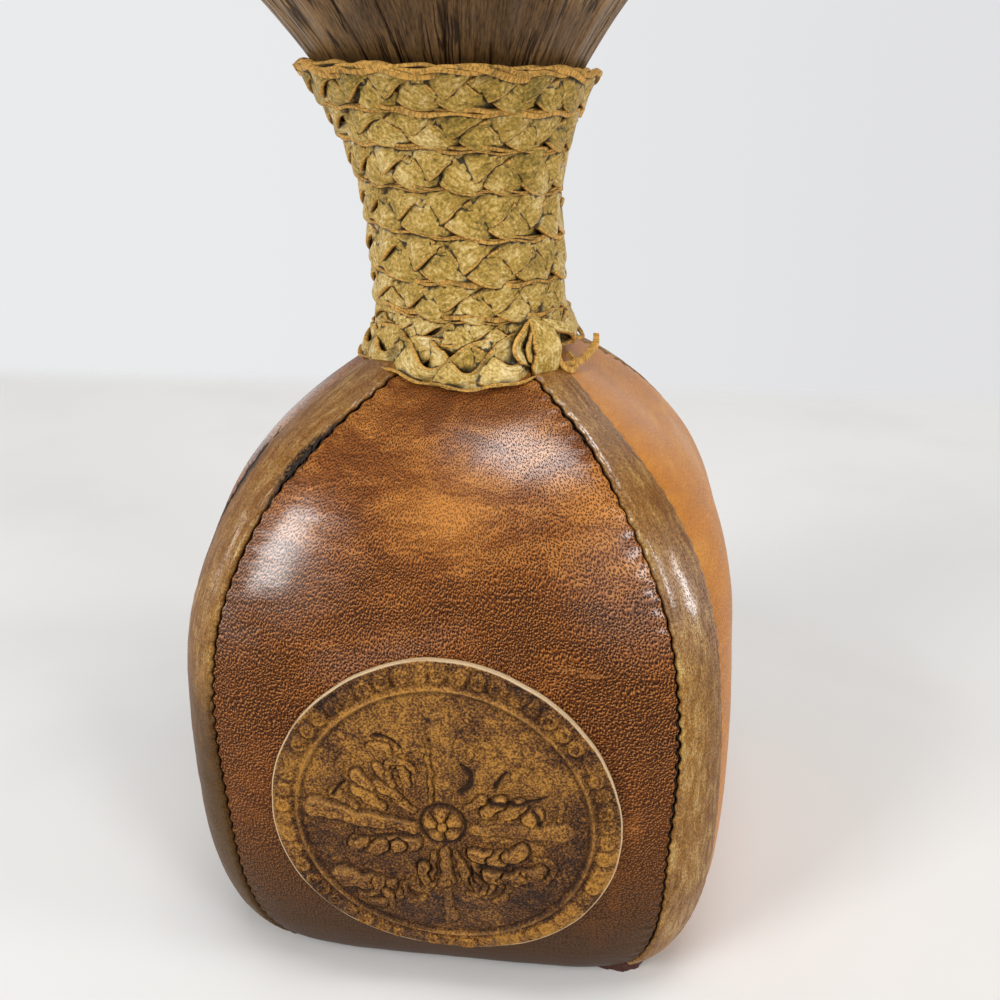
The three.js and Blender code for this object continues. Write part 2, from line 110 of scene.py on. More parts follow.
# Places where the leather stands fuller: angle and half width in degrees, then height, half height and
# lift in millimetres
FULL_PLACES = ((196, 56, 116, 20, 1.8), (338, 50, 100, 26, 1.8))

# Rows of the wound braid from the shoulder up: height at the front, width and upper cord, in millimetres
BRAID_ROWS = (
    (131.7, 8.6, 0.7),
    (137.9, 7.4, 1.0),
    (144.2, 7.6, 0.75),
    (152.4, 9.2, 0.8),
    (161.5, 9.2, 0.5),
    (170.2, 8.5, 0.6),
    (177.8, 7.3, 1.05),
    (184.9, 8.0, 1.1),
)
BRAID_TURNS = 7.62
BRAID_START = math.radians(-52)
BRAID_STEP = 0.62 * MM
TOP_CORD_START = 6.42

# How sheltered a point of the braid is, which its finish paints as shade: how far above it the test
# starts, how far it reaches, and how squarely its ways have to leave the surface
SHELTER_START, SHELTER_REACH, SHELTER_FACING = 0.06 * MM, 2.4 * MM, 0.3

# The braid's lower end. Each strap has its width, thickness and crown in millimetres and its roll in
# radians, then a line of angle in degrees, height and lift in millimetres
BRAID_ENDS = {
    "fold": (
        (6.8, 1.5, 0.3, 0.0),
        (
            (-42, 139.5, 2.5), (-43, 138, 4.6), (-44, 135.5, 6.2),
            (-45, 133, 6.4), (-47, 130.4, 5.0), (-47, 129, 3.0),
        ),
    ),
    "tongue": (
        (2.4, 0.9, 0.12, 0.5),
        (
            (-50, 138.4, 4), (-54, 137.4, 5.2), (-58, 136, 5.6),
            (-59.5, 134.4, 5.6), (-57, 132.6, 5.2), (-53, 131.4, 4),
        ),
    ),
    "lip": (
        (2.2, 0.9, 0.12, 0.5),
        ((-48, 137.4, 4.4), (-51, 136, 5.6), (-53.5, 134.4, 6), (-53, 132.8, 5.6), (-50.5, 131.4, 4.4)),
    ),
    "keeper": (
        (2.2, 1.0, 0.1, 0.3),
        ((-40, 138.6, 4), (-34, 137.6, 5.6), (-26, 136.6, 6), (-19, 135, 5.6), (-15, 133, 4)),
    ),
    "strand": (
        (1.4, 1.2, 0.0, 0.0),
        (
            (-41, 130, 4), (-33, 130, 5.6), (-24, 130, 6.2),
            (-14, 130.6, 6.8), (-7, 131.6, 7.8), (-4, 133.2, 8.4),
        ),
    ),
    "loop": (
        (1.2, 1.1, 0.0, 0.0),
        ((-36, 132, 4.8), (-37.5, 130.2, 5.6), (-33.5, 129, 6), (-28, 129.8, 5.8), (-26, 131.6, 4.4)),
    ),
}
BRAID_END_STEPS = 70

# Cross-section of a strap, round from its face: shares of its width and of its thickness, its crown, and
# how raw the leather is
STRAP_FACE = np.array((-1, -0.89, -0.7, -0.35, 0.0, 0.35, 0.7, 0.89, 1))
STRAP_ACROSS = np.concatenate((0.46 * STRAP_FACE, (0.5, 0.5), -0.46 * STRAP_FACE[::2], (-0.5, -0.5)))
STRAP_OUT = np.array([0.5] * 9 + [0.28, -0.28] + [-0.5] * 5 + [-0.28, 0.28])
STRAP_CROWN = np.concatenate((1 - STRAP_FACE**2, np.zeros(9)))
STRAP_RAW = np.array([0.9] + [0.0] * 7 + [0.9] + [1.0] * 2 + [0.3] * 5 + [1.0] * 2)

# Strokes of the ornament from the disc's middle: x, y, heading, reach, bend, first and last half width and
# height, in millimetres and degrees. Leaves come first, then pods, lumps and scrolls that lie over them
STROKES = (
    (-5.5, -1.0, 176, 21, -8, 0.9, 1.7, 0.7),
    (6.0, -0.5, 0, 18, 4, 0.9, 1.5, 0.4),
    (0.2, 6.0, 90, 17, 0, 1.1, 1.7, 0.25),
    (0.6, -16.0, -90, 9, 0, 0.6, 1.0, 0.45),
    (8.0, -2.4, -5, 12, 0, 0.35, 0.45, 0.4),
    (8.0, 1.5, 6, 12, 0, 0.35, 0.45, 0.35),
    (-2.2, 5.5, 91, 15, 0, 0.35, 0.25, 0.5),
    (-5.6, 3.4, 150, 3.6, 0, 0.45, 0.75, 0.7),
    (-8.5, 5.8, 146, 5.0, 0, 0.55, 1.0, 0.85),
    (-11.8, 3.6, 148, 6.5, -14, 0.65, 1.15, 0.85),
    (-14.0, 7.6, 136, 4.5, 0, 0.6, 1.0, 0.75),
    (-10.0, 8.6, 126, 5.0, 0, 0.55, 0.95, 0.75),
    (-17.6, 3.6, 156, 4.6, -10, 0.6, 0.95, 0.6),
    (-6.6, 9.2, 113, 4.6, 0, 0.45, 0.85, 0.6),
    (0.5, -6.4, -92, 8.0, 0, 0.6, 1.15, 0.7),
    (2.7, -6.8, -73, 7.5, 0, 0.45, 1.0, 0.65),
    (-1.7, -6.8, -107, 7.0, 0, 0.45, 0.9, 0.65),
    (4.6, -6.2, -58, 5.5, 0, 0.4, 0.8, 0.6),
    (8.6, 3.8, 24, 4.0, 30, 0.7, 1.2, 0.85),
    (12.4, 3.4, 12, 4.0, 45, 0.8, 1.2, 0.85),
    (16.4, 2.4, 12, 3.6, 55, 0.7, 1.1, 0.75),
    (5.2, 4.4, 42, 4.0, 0, 0.4, 0.8, 0.6),
    (6.4, -6.4, -30, 2.6, 40, 0.9, 1.2, 0.95),
    (9.8, -7.8, -10, 2.8, 60, 0.9, 1.3, 0.95),
    (13.4, -6.8, 10, 3.2, 50, 0.9, 1.2, 0.85),
    (8.8, -11.4, -50, 3.0, 70, 0.9, 1.2, 0.95),
    (12.4, -12.2, -30, 3.6, 80, 0.8, 1.2, 0.85),
    (16.6, -10.4, -10, 3.6, 60, 0.7, 1.0, 0.65),
    (6.0, -13.0, -70, 3.6, 60, 0.8, 1.1, 0.85),
    (-6.0, -5.0, 188, 12.0, -12, 1.3, 0.8, 0.85),
    (-8.6, -5.8, 235, 2.6, -60, 1.1, 0.8, 0.8),
    (-12.6, -6.0, 240, 2.8, -70, 1.2, 0.8, 0.75),
    (-16.4, -5.6, 215, 2.6, -40, 1.0, 0.7, 0.7),
    (-11.0, -16.0, 184, 11.0, -12, 0.6, 2.1, 0.7),
    (-8.6, -16.5, -98, 12.0, -110, 0.7, 0.6, 0.7),
    (-18.0, -19.5, -20, 7.0, 130, 0.5, 0.9, 0.55),
    (-4.2, -10.6, 232, 9.0, 170, 0.85, 0.6, 0.85),
    (-2.6, -15.2, 246, 6.0, -150, 0.65, 0.45, 0.7),
    (-12.8, -18.4, -30, 12.0, -230, 0.6, 0.4, 0.65),
    (-4.6, -19.4, 212, 9.0, -210, 0.55, 0.4, 0.65),
    (5.0, -17.4, -20, 8.5, 210, 0.6, 0.4, 0.7),
    (10.4, -18.6, 5, 8.5, 160, 0.55, 0.35, 0.55),
    (17.4, -11.6, -40, 12.0, 230, 0.6, 0.4, 0.5),
    (-14.0, 17.4, 20, 10.0, -170, 0.6, 0.4, 0.7),
    (-10.8, 12.8, 62, 6.5, -130, 0.55, 0.4, 0.6),
    (14.0, 12.4, 60, 9.0, -140, 0.55, 0.35, 0.4),
    (20.0, 7.5, 30, 8.0, -170, 0.55, 0.35, 0.4),
    (6.0, 16.5, 110, 8.0, -200, 0.5, 0.35, 0.35),
    (-20.5, 10.5, 120, 8.0, -180, 0.55, 0.35, 0.45),
)

# Deep hollows beside the leaves, as strokes without a height, darkened as painted shade
CUTS = (
    (4.0, 8.2, 25, 7.5, 130, 1.0, 0.45),
    (9.6, 6.4, -10, 11.5, 40, 0.95, 0.3),
    (10.6, 9.4, 75, 4.6, -30, 0.6, 0.4),
    (19.2, 1.6, 80, 4.0, 60, 0.8, 0.35),
    (7.6, -9.6, -20, 2.4, 40, 0.6, 0.4),
    (5.6, -10.2, -100, 3.4, 40, 0.5, 0.3),
    (-13.0, 19.6, 5, 6.0, -60, 0.45, 0.25),
    (-22.0, 5.6, 60, 4.0, -20, 0.5, 0.3),
)
STROKE_STEPS = 7
STROKE_SPREAD = 1.25

# Number of the sleeve's gathers
CREASES = 84

# The dowel's hole in the knob and the cork: its radius and the room beyond the dowel, in millimetres
PIN_HOLE = 3.3
PIN_ROOM = 0.3

# Steps round a turned piece
SPIN_STEPS = 96

# Soft lamps: direction from the body, width and height in metres, and power in watts
LAMPS = {
    "window_lamp": ((-0.595, -0.62, 0.51), 0.54, 1.16, 18.3),
    "ceiling_lamp": ((0.08, -0.17, 0.98), 0.96, 0.52, 15.0),
    "door_lamp": ((0.625, -0.6, 0.5), 0.44, 1.1, 10.0),
    "right_lamp": ((0.94, -0.17, 0.3), 0.4, 1.0, 10.0),
    "left_lamp": ((-0.98, -0.05, 0.2), 0.4, 0.8, 5.0),
}
LAMP_DISTANCE = 2.0
LAMP_TARGET = Vector((0, 0, 80 * MM))


def linear(display):
    """A display value from 0 to 255 as linear light."""
    value = display / 255
    return value / 12.92 if value <= 0.04045 else ((value + 0.055) / 1.055) ** 2.4


def length(name, description, metres):
    return bpy.props.FloatProperty(
        name=name, description=description, default=metres, unit="LENGTH", precision=5
    )


def factor(name, description, value):
    return bpy.props.FloatProperty(name=name, description=description, default=value, subtype="FACTOR")


def colour(name, description, *display):
    """A colour whose default is given in display values from 0 to 255."""
    return bpy.props.FloatVectorProperty(
        name=name,
        description=description,
        default=(*(linear(value) for value in display), 1.0),
        subtype="COLOR",
        size=4,
        min=0.0,
        max=1.0,
    )


def group(kind, name, description):
    return bpy.props.PointerProperty(type=kind, name=name, description=description)


class DecanterBody(bpy.types.PropertyGroup):
    """Sizes of the square body and its sewn leather."""

    half_width: length("Half Width", "From the middle to a flat side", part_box("right_panel")[1].x)
    base_half_width: length("Base Half Width", "Half width at the very bottom", 46.5 * MM)
    belly_height: length("Belly Height", "Height of the widest row", 48 * MM)
    floor: length("Jacket Floor", "Height of the leather's lower edge", 0.5 * MM)
    height: length("Body Height", "Height of the shoulder's top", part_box("front_panel")[1].z)
    shoulder_half_width: length("Shoulder Half Width", "Half width where the neck starts", 21.3 * MM)
    strip_half_width_base: length("Strip Half Width Low", "Half of a corner strip, low down", 8.2 * MM)
    strip_half_width_top: length("Strip Half Width High", "Half of a corner strip, at the neck", 5.2 * MM)
    strip_lift: length("Strip Lift", "How far a strip stands above the panels", 0.45 * MM)
    panel_thickness: length("Panel Thickness", "Thickness of the panels' leather", 0.8 * MM)
    strip_thickness: length("Strip Thickness", "Thickness of the strips' leather", 0.45 * MM)
    seam_gap: length("Seam Gap", "Width of the groove between panel and strip", 0.18 * MM)
    seam_depth: length("Seam Depth", "Depth of the groove between panel and strip", 1.0 * MM)
    stitch_pitch: length("Stitch Pitch", "From one stitch to the next", 3.2 * MM)
    thread: length("Thread", "Diameter of the sewing thread", 0.42 * MM)


class DecanterNeck(bpy.types.PropertyGroup):
    """Sizes of the neck, its gathered sleeve and its braid."""

    foot: length("Neck Foot", "Height of the sleeve's lower edge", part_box("neck_sleeve")[0].z)
    radius: length("Sleeve Radius", "Outer radius of the sleeve's straight part", 17.2 * MM)
    foot_spread: length("Foot Spread", "How far the foot spreads over the shoulder", 2 * MM)
    foot_height: length("Foot Height", "Height over which the foot spreads", 9 * MM)
    flare_start: length("Flare Start", "Height where the mouth starts to open", 160 * MM)
    flare_length: length("Flare Length", "Height of the opening mouth", 45 * MM)
    flare_spread: length("Flare Spread", "How far the mouth opens", 23.3 * MM)
    lip_depth: length("Lip Width", "From the sleeve's outside to the inside of its hem", 6.9 * MM)
    lip_rise: length("Lip Rise", "How far the fold stands above the rim", 2 * MM)
    hem: length("Hem", "How far the sleeve is turned into the mouth", 7 * MM)
    sleeve_thickness: length("Sleeve Thickness", "Thickness of the sleeve's leather", 1.2 * MM)
    lean: factor("Lean", "Sideways lean per height", -0.06)
    strap_thickness: length("Strap Thickness", "Thickness of a braided strap", 1.0 * MM)
    plait: length("Plait Length", "Way along the row in which a strap comes back to its place", 27 * MM)
    bed: length("Braid Bed", "From the sleeve to the middle of the braid", 2.1 * MM)


class DecanterMedallion(bpy.types.PropertyGroup):
    """Sizes of the embossed disc on the front."""

    radius: length("Radius", "Outer radius of the disc", 35.4 * MM)
    centre_height: length("Centre Height", "Height of the disc's middle", 49.5 * MM)
    shift: length("Sideways Shift", "Shift of the disc's middle to the right", 1 * MM)
    thickness: length("Thickness", "Thickness of the disc's field", 1.9 * MM)
    relief: length("Relief", "Height of the embossing", 1.3 * MM)
    boss: length("Boss Radius", "Radius of the round boss in the middle", 4.0 * MM)
    seat: length("Seat", "Gap between the disc and the panel", 0.15 * MM)


class DecanterColours(bpy.types.PropertyGroup):
    """Colours of the leathers and the other finishes."""

    chestnut: colour("Chestnut", "Front and left panels", 128, 72, 30)
    chestnut_light: colour("Chestnut Light", "Rubbed parts of the chestnut leather", 192, 126, 60)
    chestnut_dark: colour("Chestnut Dark", "Stained parts of the chestnut leather", 90, 48, 20)
    chestnut_pit: colour("Chestnut Pits", "Pores of the panels", 38, 17, 8)
    # Painted highlight on one side of each pore, standing in for its lit rim; also the colour of a pale
    # scratch
    chestnut_rim: colour("Chestnut Rims", "Lit rims of the pores", 204, 136, 74)
    # Dark dull colour of the painted shade at the heel
    heel_shade: colour("Dust", "Dull heel of the chestnut leather", 45, 34, 18)
    tan: colour("Tan", "Right and back panels", 192, 120, 32)
    tan_light: colour("Tan Light", "Rubbed parts of the tan leather", 206, 140, 52)
    tan_dark: colour("Tan Dark", "Stained parts of the tan leather", 176, 108, 30)
    strip: colour("Strip", "Corner strips", 169, 119, 53)
    strip_light: colour("Strip Light", "Rubbed streaks of the strips", 234, 196, 112)
    strip_dark: colour("Strip Dark", "Dark streaks of the strips", 108, 68, 26)
    strip_olive: colour("Strip Olive", "Shaded low part of the left strip", 74, 57, 18)
    strip_brown: colour("Strip Brown", "Browner parts of the strips", 124, 74, 29)
    # Near black: painted shade in the seams, the torn openings and the sleeve's creases, and the dark of the
    # sleeve's cracks and the thread's twist
    groove: colour("Groove", "Depth of the seams", 26, 14, 7)
    thread: colour("Thread", "Waxed sewing thread", 44, 27, 16)
    base: colour("Base", "Leather under the bottle", 86, 38, 24)
    medallion: colour("Medallion", "Field of the disc", 106, 66, 30)
    medallion_gold: colour("Medallion Gold", "Rubbed speckles of the disc", 180, 128, 54)
    # Painted shade in the recesses, and the dark end of the disc's tones
    medallion_dark: colour("Medallion Dark", "Recesses of the disc", 38, 20, 9)
    # Painted highlight along the ornament's outlines and the ring line
    medallion_lit: colour("Medallion Lit", "Rubbed outlines of the ornament", 190, 140, 78)
    medallion_edge: colour("Medallion Edge", "Raw cut edge of the disc", 214, 186, 146)
    sleeve: colour("Sleeve", "Gathered leather of the mouth", 119, 88, 52)
    sleeve_light: colour("Sleeve Light", "Rubbed streaks of the sleeve", 166, 129, 82)
    sleeve_dark: colour("Sleeve Dark", "Creases of the sleeve", 72, 50, 28)
    braid: colour("Braid", "Faces of the braided straps", 186, 150, 64)
    braid_light: colour("Braid Light", "Rubbed parts of the straps", 240, 216, 150)
    braid_dark: colour("Braid Dark", "Olive shadows of the straps", 116, 98, 38)
    # Painted shade where a strap dives under the next or lies sheltered
    braid_deep: colour("Braid Deep", "Where a strap dives under the next", 34, 25, 7)
    braid_raw: colour("Braid Raw Edge", "Cut edges of the straps", 242, 186, 94)
    cork: colour("Cork", "Body of the cork", 188, 146, 98)
    cork_dark: colour("Cork Dark", "Pores of the cork", 96, 62, 36)
    wood: colour("Wood", "Knob and dowel", 116, 72, 38)
    wood_dark: colour("Wood Dark", "Dark grain of the wood", 62, 35, 18)
    glass: colour("Glass", "Bottle glass", 226, 238, 230)
    floor: colour("Floor", "Pale floor", 234, 233, 231)
    wall_left: colour("Wall Left", "Pale background on the left", 234, 235, 236)
    wall_right: colour("Wall Right", "Pale background on the right", 224, 224, 226)


class DecanterStage(bpy.types.PropertyGroup):
    """Floor and light."""

    floor_reach: length("Floor Reach", "How far the floor runs to the sides and to the front", 3.0)
    floor_back: length("Floor Back", "How far the floor runs behind the decanter", 0.41)
    sky: factor("Sky", "Light from all round", 0.3)


class DecanterSettings(bpy.types.PropertyGroup):
    """All the settings of the decanter."""

    body: group(DecanterBody, "Body", "Body and seams")
    neck: group(DecanterNeck, "Neck", "Sleeve and braid")
    medallion: group(DecanterMedallion, "Medallion", "Embossed disc")
    colours: group(DecanterColours, "Colours", "Finishes")
    stage: group(DecanterStage, "Stage", "Floor and light")


def settings():
    return bpy.context.scene.decanter


def tint(name):
    return tuple(getattr(settings().colours, name))


# Numbers along lines


def ease(start, end, x):
    """Rises smoothly from 0 at start to 1 at end."""
    t = np.clip((x - start) / (end - start), 0, 1)
    return t * t * (3 - 2 * t)


def waver(x, seed):
    """An unsteady line around zero, about one unit high."""
    slow = np.sin(x + 5.1 * seed)
    middle = 0.6 * np.sin(2.3 * x + 1.7 * seed + 0.6)
    quick = 0.35 * np.sin(4.1 * x + 2.9 * seed + 1.9)
    return (slow + middle + quick) / 1.95


def hump(x, centre, half_length):
    """A smooth hill of height 1 with the given middle and half length."""
    return np.clip(1 - ((x - centre) / half_length) ** 2, 0, None) ** 2


def bell(x, width):
    """A ridge of height 1 at zero with long soft feet."""
    return np.exp(-((x / width) ** 2))


def unit(vectors):
    return vectors / np.linalg.norm(vectors, axis=-1, keepdims=True)


def summed(steps):
    """Distances from the start of a line, from the lengths of its steps."""
    return np.concatenate(([0], np.cumsum(steps)))


def chart(across, along, shape):
    """UV coordinates from two distances."""
    return np.stack((np.broadcast_to(across, shape), np.broadcast_to(along, shape)), axis=-1) / CHART


# The jacket's outer surface: a superellipse in plan whose half width follows the body's profile


def above_belly(z):
    body = settings().body
    return np.clip((z - body.belly_height) / (body.height - body.belly_height), 0, 1)


def body_half_width(z):
    body = settings().body
    below = np.clip((body.belly_height - z) / body.belly_height, 0, 1)
    swell = (1 - below**HEEL_ROUNDING) ** (1 / HEEL_FULLNESS)
    heel = body.base_half_width + (body.half_width - body.base_half_width) * swell
    fall = (body.half_width - body.shoulder_half_width) * above_belly(z) ** SHOULDER_FALL
    return np.where(z < body.belly_height, heel, body.half_width - fall)


def body_squareness(z):
    return SQUARENESS_BELLY + (SQUARENESS_SHOULDER - SQUARENESS_BELLY) * above_belly(z) ** SQUARENESS_FADE


def body_radius(angle, z):
    n = body_squareness(z)
    c = np.abs(np.cos(angle)) ** n
    s = np.abs(np.sin(angle)) ** n
    return body_half_width(z) / (c + s) ** (1 / n)


def body_point(angle, z):
    angle, z = np.broadcast_arrays(angle, z)
    r = body_radius(angle, z)
    return np.stack((r * np.cos(angle), r * np.sin(angle), z), axis=-1)


def body_normal(angle, z):
    turn_step = 1e-4
    height_step = 1e-6
    around = body_point(angle + turn_step, z) - body_point(angle - turn_step, z)
    upward = body_point(angle, z) - body_point(angle, z - height_step)
    return unit(np.cross(around, upward))


def turned_from(angle, middle):
    """The turn from one angle to another, by the shorter way."""
    return (angle - middle + math.pi) % TURN - math.pi


def fullness(angle, z):
    """Extra lift of the leather in its fuller places."""
    lift = 0.0
    for middle, half_turn, height, half_height, most in FULL_PLACES:
        around = hump(turned_from(angle, math.radians(middle)), 0, math.radians(half_turn))
        lift = lift + most * MM * around * hump(z, height * MM, half_height * MM)
    return lift


def jacket_point(angle, z, lift, tuck=0.0):
    """A point above the jacket's surface; tuck draws it inwards over the shoulder, under the braid."""
    angle, z, lift, tuck = np.broadcast_arrays(angle, z, lift, tuck)
    point = body_point(angle, z) + body_normal(angle, z) * (lift + fullness(angle, z))[..., None]
    inward = np.stack((-np.cos(angle), -np.sin(angle), np.zeros_like(angle)), axis=-1)
    point = point + inward * tuck[..., None]
    point[..., 2] += tuck * (TUCK_SLOPE - TUCK_FADE * tuck)
    return point


def side_rows(count):
    """Rows evenly spaced up a side: heights, ways along the side, and tucks under the braid."""
    body = settings().body
    z = np.linspace(body.floor, body.height, SIDE_STEPS)
    way = summed(np.hypot(np.diff(body_half_width(z)), np.diff(z)))
    rows = np.linspace(0, way[-1] + TUCK_LENGTH, count)
    tuck = np.clip(rows - way[-1], 0, None)
    return np.interp(rows, way, z)[:, None], rows[:, None], tuck[:, None]


def strip_half_width(z):
    body = settings().body
    down = 1 - z / body.height
    spread = body.strip_half_width_base - body.strip_half_width_top
    heel = 2.4 * MM * ease(42 * MM, 4 * MM, z)
    return body.strip_half_width_top + spread * down * down - heel


def corner_angle(corner, distance, z):
    middle = (corner + 0.5) * QUARTER
    return middle + distance / body_radius(middle, z)


def seam_stray(corner, side, way):
    """How far a seam's edge strays from its line: the scallops between stitches and a slow waver."""
    seed = 2.0 * corner + side
    pitch = settings().body.stitch_pitch
    drift = 1.1 * waver(way / (13 * MM), seed + 5)
    strength = 0.6 + 0.55 * waver(way / (14 * MM), seed + 3)
    scallop = 0.3 * MM * strength * np.sin(TURN * way / pitch + drift)
    cut = SHOULDER_CUTS.get((corner, side), 0) * MM * ease(112 * MM, 134 * MM, way)
    wide = 1.6 * MM * hump(way, 92 * MM, 34 * MM) if (corner, side) == WIDENED_SEAM else 0
    return scallop + cut + wide + 0.35 * MM * waver(way / (19 * MM), seed)


def frayed(corner, side, way):
    """Where a seam has come apart: 1 in the middle of the frayed stretch and 0 elsewhere."""
    if (corner, side) not in FRAYED_SEAMS:
        return np.zeros_like(way)
    middle, half_length = FRAYED_SEAMS[corner, side]
    return hump(way, middle * MM, half_length * MM)


def seam_gap(corner, side, way):
    """Width of the groove between a strip and a panel; below zero where the strip covers the edge."""
    seed = 2.0 * corner + side
    if (corner, side) in TIGHT_SEAMS:
        gap = -0.5 * MM
    else:
        gap = settings().body.seam_gap * (1 + 0.3 * waver(way / (15 * MM), seed + 9))
    return gap + frayed(corner, side, way) * 0.5 * MM


# The neck: a leaning sleeve with a spread foot and a flared mouth


def sleeve_radius(z):
    neck = settings().neck
    foot = np.clip(1 - (z - neck.foot) / neck.foot_height, 0, 1.8)
    flare = np.clip((z - neck.flare_start) / neck.flare_length, 0, 1)
    return neck.radius + neck.foot_spread * foot * foot + neck.flare_spread * flare**1.8


def neck_point(angle, radius, z):
    centre = settings().neck.lean * np.clip(z - settings().body.height, 0, None)
    x = centre + radius * np.cos(angle)
    return np.stack(np.broadcast_arrays(x, radius * np.sin(angle), z), axis=-1)


class Meridian:
    """The sleeve's outer line from below the shoulder's top to the rim, measured along itself."""

    def __init__(self):
        neck = settings().neck
        rim = neck.flare_start + neck.flare_length
        self.z = np.linspace(neck.foot - 7 * MM, rim, MERIDIAN_STEPS)
        self.r = sleeve_radius(self.z)
        self.way = summed(np.hypot(np.diff(self.r), np.diff(self.z)))
        self.slope = np.maximum(np.arctan2(np.gradient(self.r), np.gradient(self.z)), -0.1)

    def at_height(self, z):
        return np.interp(z, self.z, self.way)

    def point(self, angle, way, lift):
        """A point above the sleeve, and the direction out of the sleeve there."""
        r, z, slope = (np.interp(way, self.way, values) for values in (self.r, self.z, self.slope))
        level = np.cos(slope)
        out = np.stack((level * np.cos(angle), level * np.sin(angle), -np.sin(slope)), axis=-1)
        return neck_point(angle, r, z) + out * lift[..., None], out


# Mesh work by operators


def clear_selection():
    if bpy.context.object and bpy.context.object.mode != "OBJECT":
        bpy.ops.object.mode_set(mode="OBJECT")
    bpy.ops.object.select_all(action="DESELECT")


def pick(piece):
    clear_selection()
    bpy.context.view_layer.objects.active = piece
    piece.select_set(True)


def added(name, operator, **options):
    """An object that an operator adds, under a name."""
    clear_selection()
    operator(**options)
    bpy.context.object.name = name
    return bpy.context.object


def coordinates(mesh):
    flat = np.empty(len(mesh.vertices) * 3)
    mesh.vertices.foreach_get("co", flat)
    return flat.reshape(-1, 3)


def set_coordinates(mesh, points):
    mesh.vertices.foreach_set("co", np.ascontiguousarray(points, dtype=float).ravel())
    mesh.update()


def add_mark(mesh, name, values):
    """A value on each point of a mesh, which its material reads."""
    mark = mesh.attributes.new(name, "FLOAT", "POINT")
    mark.data.foreach_set("value", np.ascontiguousarray(values, dtype=float))


def laid_grid(name, points, uv=None, marks=None):
    """A grid primitive laid over rows and columns of points, with a UV map and marks on its points."""
    rows, columns = points.shape[0] - 1, points.shape[1] - 1
    add_grid = bpy.ops.mesh.primitive_grid_add
    piece = added(name, add_grid, x_subdivisions=columns, y_subdivisions=rows, size=2)
    mesh = piece.data
    mesh.name = name
    start = coordinates(mesh)
    column = np.rint((start[:, 0] + 1) / 2 * columns).astype(int)
    row = np.rint((start[:, 1] + 1) / 2 * rows).astype(int)
    set_coordinates(mesh, points[row, column])
    if uv is not None:
        corners = np.empty(len(mesh.loops), dtype=int)
        mesh.loops.foreach_get("vertex_index", corners)
        flat = uv[row, column][corners].astype(float)
        mesh.uv_layers.active.data.foreach_set("uv", flat.ravel())
    for mark, values in (marks or {}).items():
        add_mark(mesh, mark, np.broadcast_to(values, points.shape[:2])[row, column])
    return piece


def edit(piece, *steps):
    """Runs edit-mode operators on the whole of a piece."""
    pick(piece)
    bpy.ops.object.mode_set(mode="EDIT")
    select_all()
    for step in steps:
        step()
    bpy.ops.object.mode_set(mode="OBJECT")


def select_all():
    bpy.ops.mesh.select_all(action="SELECT")


def merge_doubles():
    bpy.ops.mesh.remove_doubles(threshold=0.002 * MM)


def face_outwards():
    bpy.ops.mesh.normals_make_consistent(inside=False)


def close_ends():
    bpy.ops.mesh.select_all(action="DESELECT")
    bpy.ops.mesh.select_non_manifold(
        use_wire=False, use_multi_face=False, use_non_contiguous=False, use_verts=False
    )
    bpy.ops.mesh.fill_holes(sides=0)
    select_all()


def apply_modifier(piece, kind, **values):
    pick(piece)
    bpy.ops.object.modifier_add(type=kind)
    modifier = piece.modifiers[-1]
    for name, value in values.items():
        setattr(modifier, name, value)
    bpy.ops.object.modifier_apply(modifier=modifier.name)


def give_thickness(piece, thickness):
    apply_modifier(piece, "SOLIDIFY", thickness=thickness, offset=-1.0, use_even_offset=False)


def dent(piece, size, depth):
    """Uneven hollows and swellings all over a piece, of a size and a depth."""
    texture = bpy.data.textures.new(piece.name + "_dents", "CLOUDS")
    texture.noise_scale = size
    texture.noise_depth = 2
    texture.noise_basis = "IMPROVED_PERLIN"
    apply_modifier(piece, "DISPLACE", texture=texture, texture_coords="LOCAL", strength=depth, mid_level=0.5)


def finish(piece, look, *nodes, body="bottle", angle=50):
    """Smooths and paints a piece, hangs it on its body and hides the nodes that it stands for."""
    pick(piece)
    bpy.ops.object.shade_smooth_by_angle(angle=math.radians(angle))
    piece.data.materials.clear()
    piece.data.materials.append(look.material)
    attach(piece, body)
    if nodes:
        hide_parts(*nodes)
    return piece


def mark_shelter(pieces):
    """Marks each point of some pieces with the share of its near view that they block."""
    points, faces = [], []
    for piece in pieces:
        first = len(points)
        points.extend(vertex.co for vertex in piece.data.vertices)
        faces.extend([first + k for k in face.vertices] for face in piece.data.polygons)
    tree = BVHTree.FromPolygons(points, faces)
    ways = [Vector(way).normalized() for way in itertools.product((-1, 0, 1), repeat=3) if any(way)]
    for piece in pieces:
        blocked = []
        for vertex in piece.data.vertices:
            start = vertex.co + vertex.normal * SHELTER_START
            open_ways = [way for way in ways if way.dot(vertex.normal) > SHELTER_FACING]
            hits = sum(tree.ray_cast(start, way, SHELTER_REACH)[0] is not None for way in open_ways)
            blocked.append(hits / len(open_ways))
        add_mark(piece.data, "shelter", blocked)


# Shader maths


